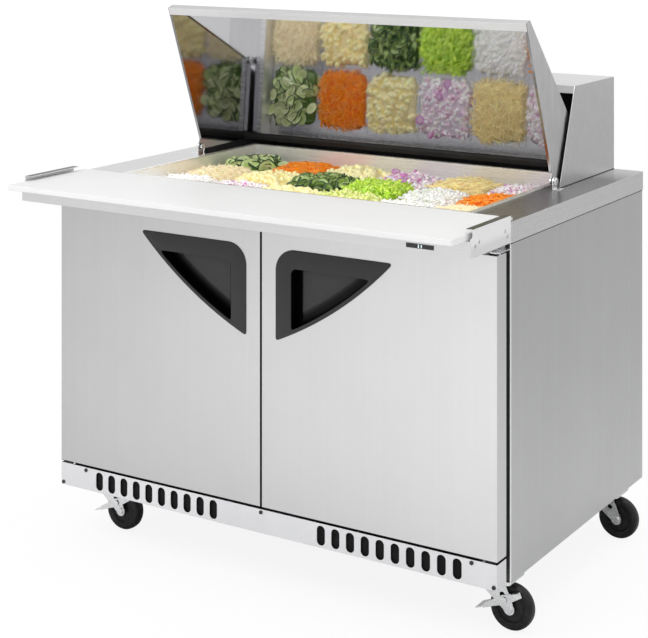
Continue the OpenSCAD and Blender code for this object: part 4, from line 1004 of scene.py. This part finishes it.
def slot_shade_sheet():
    """Dark sheet with a woven bump behind the louvre slots: painted shade for the slots."""
    m = Mat("slot_painted_shade")
    w = m.voronoi(m.scaled(1, 1, 1), 900)
    n = m.noise(m.scaled(1, 1, 1), 30, 4.0, 0.6)
    m.set(Base_Color=m.mix(m.remap(n, 0.3, 0.7, 0, 1), grey(0.006), grey(0.014)), Roughness=m.remap(n, 0.3, 0.7, 0.75, 0.9))
    m.b.inputs["Specular IOR Level"].default_value = 0.15
    m.bump(w, 0.4, 0.0006)
    return m.m


# a near-black sheet behind the slots, painted shade
block("grille_slot_painted_shade", (-0.560, gr_lo.y + 0.0060, 0.1300), (0.560, gr_lo.y + 0.0085, gr_hi.z - 0.0045), slot_shade_sheet(), "cabinet")


# ------------------------------------------------------------------ door pulls
def pull_loop(i_side, i_top, i_hyp, rc, tip=0.009):
    """outline of the curved-triangle pull for the right door, as the CAD draws it: closed list of (x, z)"""
    inner, outer, top, low, R0 = 0.042, 0.353, 0.804, 0.588, 0.960
    p, q = Vector((inner + 0.004, low)), Vector((outer, top - 0.004))
    mid, d = (p + q) / 2, q - p
    L = d.length
    c = mid - Vector((d.y, -d.x)) / L * math.sqrt(R0 * R0 - L * L / 4)
    R = R0 - i_hyp
    xl, zt = inner + i_side, top - i_top
    zl = c.y - math.sqrt(R * R - (xl - c.x) ** 2)
    xr = c.x + math.sqrt(R * R - (zt - c.y) ** 2)
    a0, a1, da = math.atan2(zl - c.y, xl - c.x), math.atan2(zt - c.y, xr - c.x), tip / R

    def on(a):
        return Vector((c.x + R * math.cos(a), c.y + R * math.sin(a)))

    def soft(p, q, r, n):
        return [(1 - t) ** 2 * p + 2 * t * (1 - t) * q + t * t * r for t in (k / n for k in range(n + 1))]

    pts = [Vector((xl + rc + rc * math.cos(a), zt - rc + rc * math.sin(a))) for a in (math.pi / 2 + math.pi / 2 * k / 16 for k in range(17))]
    zlow = zl + tip
    pts += [Vector((xl, zt - rc + (zlow - zt + rc) * k / 22)) for k in range(1, 22)]
    pts += soft(Vector((xl, zlow)), Vector((xl, zl)), on(a0 + da), 8)
    b0, b1 = a0 + 1.3 * da, a1 - 2.0 * da
    pts += [on(b0 + (b1 - b0) * k / 46) for k in range(47)]
    pts += soft(on(a1 - 1.7 * da), Vector((xr, zt)), Vector((xr - 1.7 * tip, zt)), 8)
    x0, x1 = xr - 1.7 * tip, xl + rc
    pts += [Vector((x0 + (x1 - x0) * k / 30, zt)) for k in range(1, 30)]
    return pts, c


def smooth(a, b, x):
    t = max(0.0, min(1.0, (x - a) / (b - a)))
    return t * t * (3 - 2 * t)


def handle_mat():
    """Moulded black plastic, with painted shade deepening into the finger channel."""
    m = Mat("pull_plastic")
    a = m.n("ShaderNodeAttribute", attribute_name="PocketPaintedShade")
    g = m.noise(m.scaled(1, 1, 1), 1700, 2.0, 0.6)
    s = m.noise(m.scaled(1, 1, 1), 14, 4.0, 0.6)
    base = m.mix(m.remap(s, 0.3, 0.7, 0, 1), (0.0225, 0.0225, 0.0230), (0.0270, 0.0270, 0.0277))
    # the pocket's floor is painted a little paler: painted light that makes up for the shade of its depth
    pos = m.n("ShaderNodeSeparateXYZ")
    m.link(m.coord, pos.inputs[0])
    floor_painted_light = m.remap(pos.outputs[1], PULL_FACE + 0.016, PULL_FACE + 0.022, 0.0, 1.0)
    base = m.mix(floor_painted_light, base, m.mix(m.remap(s, 0.3, 0.7, 0, 1), (0.034, 0.034, 0.035), (0.041, 0.041, 0.042)))
    m.set(Base_Color=m.mix(a.outputs["Fac"], base, grey(0.0012)), Roughness=m.math("ADD", m.remap(s, 0.3, 0.7, 0.46, 0.53), m.remap(g, 0.3, 0.7, -0.03, 0.03)))
    m.link(m.remap(a.outputs["Fac"], 0.0, 1.0, 0.42, 0.06), m.b.inputs["Specular IOR Level"])
    m.bump(g, 0.14, 0.0001)
    return m.m


PULL_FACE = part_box("door_right_handle")[0].y + 0.0024
PULL = handle_mat()
OUT_LOOP, HC = pull_loop(0.0, 0.0, 0.0, 0.052)
IN_LOOP, _ = pull_loop(0.043, 0.044, 0.009, 0.014)


def resample(loop, n):
    """n points along a closed loop, evenly spaced, from the loop's first point"""
    seg = [(loop[(k + 1) % len(loop)] - loop[k]).length for k in range(len(loop))]
    total, out, k, acc = sum(seg), [], 0, 0.0
    for j in range(n):
        want = total * j / n
        while acc + seg[k] < want:
            acc += seg[k]
            k += 1
        t = (want - acc) / seg[k] if seg[k] else 0.0
        out.append(loop[k] * (1 - t) + loop[(k + 1) % len(loop)] * t)
    return out


def offset(loop, d):
    """loop moved outwards by d along its normals; the loop runs anticlockwise seen from the front"""
    n, out = len(loop), []
    for k in range(n):
        a, b = loop[(k - 1) % n], loop[(k + 1) % n]
        t = (b - a).normalized()
        out.append(loop[k] + Vector((t.y, -t.x)) * d)
    return out


def pull_handle(side):
    """flush band, thin lip along the curve, finger pocket whose floor drops into a channel at its edges"""
    s = 1 if side == "right" else -1
    node = f"door_{side}_handle"
    lo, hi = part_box(node)
    face = lo.y + 0.0024           # the door's front plane
    bm = bmesh.new()
    # per-vertex painted shade for the pocket, read by the pull material
    pocket_painted_shade = bm.verts.layers.float.new("PocketPaintedShade")
    inner, top, R0 = 0.042, 0.804, 0.960

    def vert(p, y, d=0.0):
        v = bm.verts.new((s * p.x, face + y, p.y))
        v[pocket_painted_shade] = d
        return v

    def depth(p):
        u, w = p.x - inner - 0.043, R0 - 0.009 - (p - HC).length
        f1 = 1 - smooth(0.010, 0.019, u)
        f2 = 1 - smooth(0.010, 0.031, w)
        f = 1 - (1 - f1) * (1 - f2)
        shade = max(f1, 1 - smooth(0.004, 0.029, w))
        ridge = 0.0012 * math.exp(-((w - 0.033) / 0.006) ** 2) * (1 - f1)
        return shade, 0.0225 + 0.0090 * f - ridge

    n = 240
    outer, hole = resample(OUT_LOOP, n), resample(IN_LOOP, n)
    rings = []
    back = offset(outer, -0.0046)
    rings.append([vert(p, 0.0340) for p in back])
    rings.append([vert(p, 0.0002) for p in back])
    rings.append([vert(p, -0.0001) for p in outer])
    rings.append([vert(p, -0.0012) for p in outer])
    rings.append([vert(p, -0.0020) for p in offset(outer, -0.0005)])
    rings.append([vert(p, -0.0024) for p in offset(outer, -0.0016)])
    rings.append([vert(p, -0.0024) for p in offset(hole, 0.0016)])
    rings.append([vert(p, -0.0021) for p in offset(hole, 0.0005)])
    rings.append([vert(p, -0.0013) for p in hole])
    walls = [max(0.35, depth(p)[0]) for p in hole]
    rings.append([vert(p, 0.0010, w) for p, w in zip(hole, walls)])
    rings.append([vert(p, 0.0120, w) for p, w in zip(hole, walls)])
    c = Vector((inner + 0.043 + 0.052, top - 0.044 - 0.038))
    m = 34
    for k in range(m):
        t = (k / m) ** 1.0
        ring = []
        for p in hole:
            q = p * (1 - t) + c * t
            f, y = depth(q)
            ring.append(vert(q, y, f))
        rings.append(ring)
    for a, b in zip(rings, rings[1:]):
        for k in range(n):
            j = (k + 1) % n
            bm.faces.new((a[k], a[j], b[j], b[k]))
    f, y = depth(c)
    mid = vert(c, y, f)
    last = rings[-1]
    for k in range(n):
        bm.faces.new((last[k], last[(k + 1) % n], mid))
    bm.faces.new(rings[0][::-1])
    o = finish_bm(bm, f"pull_{side}", [PULL], f"door_{side}")
    o.data.set_sharp_from_angle(angle=math.radians(38))
    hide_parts(node)
    return o


pull_handle("left")
pull_handle("right")


# ------------------------------------------------------------------ studio
def plane(name, size, z):
    bm = bmesh.new()
    bmesh.ops.create_grid(bm, x_segments=2, y_segments=2, size=size)
    me = bpy.data.meshes.new(name)
    bm.to_mesh(me)
    bm.free()
    o = bpy.data.objects.new(name, me)
    o.location.z = z
    scene.collection.objects.link(o)
    return o


floor = plane("studio_floor", 14.0, -0.0004)
fm = Mat("studio_floor")
lp = fm.n("ShaderNodeLightPath")
pos = fm.n("ShaderNodeSeparateXYZ")
fm.link(fm.coord, pos.inputs[0])
# what polished faces see of the floor: paler to the front left, dimmer to the back right
ramp = fm.remap(fm.math("ADD", fm.math("MULTIPLY", pos.outputs[0], 0.55), fm.math("MULTIPLY", pos.outputs[1], 0.85)), -2.0, 2.4, 0.86, 0.50)
gl = fm.n("ShaderNodeCombineColor")
for i in range(3):
    fm.link(ramp, gl.inputs[i])
tone = fm.noise(fm.scaled(0.8, 0.8, 0.8), 1.0, 2.0)
seen = fm.mix(fm.remap(tone, 0.3, 0.7, 0, 1), grey(0.955), grey(0.965))
fm.set(Base_Color=fm.mix(lp.outputs["Is Glossy Ray"], seen, gl.outputs[0]), Roughness=0.9)
fm.b.inputs["Specular IOR Level"].default_value = 0.1
# the camera sees the sweep fade to white round the object, with a faint contact shadow kept near it
glow = fm.n("ShaderNodeEmission")
glow.inputs["Color"].default_value = (1, 1, 1, 1)
glow.inputs["Strength"].default_value = 1.0
far = fm.math("SQRT", fm.math("ADD", fm.math("MULTIPLY", pos.outputs[0], pos.outputs[0]), fm.math("MULTIPLY", pos.outputs[1], pos.outputs[1])))
share = fm.math("MULTIPLY", lp.outputs["Is Camera Ray"], fm.remap(far, 0.7, 1.6, 0.88, 1.0))
blend = fm.n("ShaderNodeMixShader")
fm.link(share, blend.inputs[0])
fm.link(fm.b.outputs[0], blend.inputs[1])
fm.link(glow.outputs[0], blend.inputs[2])
fm.link(blend.outputs[0], fm.out.inputs[0])
floor.data.materials.append(fm.m)

world = bpy.data.worlds.new("studio")
scene.world = world
world.use_nodes = True
wt = world.node_tree
wt.nodes.clear()
wo = wt.nodes.new("ShaderNodeOutputWorld")
bg = wt.nodes.new("ShaderNodeBackground")
tc = wt.nodes.new("ShaderNodeTexCoord")
sep = wt.nodes.new("ShaderNodeSeparateXYZ")
wt.links.new(tc.outputs["Generated"], sep.inputs[0])
wlp = wt.nodes.new("ShaderNodeLightPath")


def wmath(op, a, b):
    x = wt.nodes.new("ShaderNodeMath")
    x.operation = op
    for s, v in zip(x.inputs, (a, b)):
        if isinstance(v, (int, float)):
            s.default_value = v
        else:
            wt.links.new(v, s)
    return x.outputs[0]


direct = wmath("ADD", wmath("MULTIPLY", sep.outputs[0], 0.45), wmath("MULTIPLY", sep.outputs[1], 0.75))
mr = wt.nodes.new("ShaderNodeMapRange")
wt.links.new(direct, mr.inputs["Value"])
for k, v in (("From Min", -0.8), ("From Max", 0.8), ("To Min", 0.95), ("To Max", 0.70)):
    mr.inputs[k].default_value = v
mixw = wt.nodes.new("ShaderNodeMix")
mixw.data_type = "FLOAT"
wt.links.new(wlp.outputs["Is Camera Ray"], mixw.inputs[0])
wt.links.new(mr.outputs[0], mixw.inputs[2])
mixw.inputs[3].default_value = 1.05
wt.links.new(mixw.outputs[0], bg.inputs["Strength"])
bg.inputs["Color"].default_value = (1, 1, 1, 1)
wt.links.new(bg.outputs[0], wo.inputs[0])


def area(name, loc, target, size, power):
    l = bpy.data.lights.new(name, "AREA")
    l.shape = "RECTANGLE"
    l.size, l.size_y = size
    l.energy = power
    o = bpy.data.objects.new(name, l)
    o.location = loc
    o.rotation_euler = (Vector(target) - Vector(loc)).to_track_quat("-Z", "Y").to_euler()
    scene.collection.objects.link(o)
    return o


area("key_softbox", (-1.6, -2.6, 3.6), (0, 0, 0.7), (2.6, 2.0), 52)
area("top_softbox", (0.6, 0.4, 4.0), (0, 0, 0.9), (3.2, 2.6), 40)
area("fill_softbox", (3.6, -1.0, 1.8), (0, 0, 0.7), (1.6, 2.0), 12)

cam_data = bpy.data.cameras.new("photo_camera")
cam = bpy.data.objects.new("photo_camera", cam_data)
scene.collection.objects.link(cam)
scene.camera = cam
cam.location = (2.17783, -3.5908, 1.62723)
cam.rotation_euler = (math.radians(90), 0, math.radians(32.723))
cam_data.sensor_width = 36
cam_data.lens = 92.437
cam_data.clip_end = 60


def shift_driver(path, value):
    """The lens shift belongs to the photograph's viewpoint: a camera standing elsewhere has none."""
    curve = cam_data.driver_add(path)
    for mod in list(curve.modifiers):
        curve.modifiers.remove(mod)
    curve.keyframe_points.clear()
    curve.driver.type = "SUM"
    v = curve.driver.variables.new()
    v.name = "x"
    v.type = "TRANSFORMS"
    v.targets[0].id = cam
    v.targets[0].transform_type = "LOC_X"
    v.targets[0].transform_space = "WORLD_SPACE"
    for off, val in ((-0.03, 0.0), (-0.01, value), (0.01, value), (0.03, 0.0)):
        curve.keyframe_points.insert(2.17783 + off, val).interpolation = "LINEAR"
    curve.extrapolation = "CONSTANT"
    curve.update()


shift_driver("shift_x", 0.0520)
shift_driver("shift_y", -0.6522)

scene.view_settings.view_transform = "Standard"
scene.view_settings.look = "None"
scene.view_settings.exposure = 0.0

bpy.context.view_layer.update()
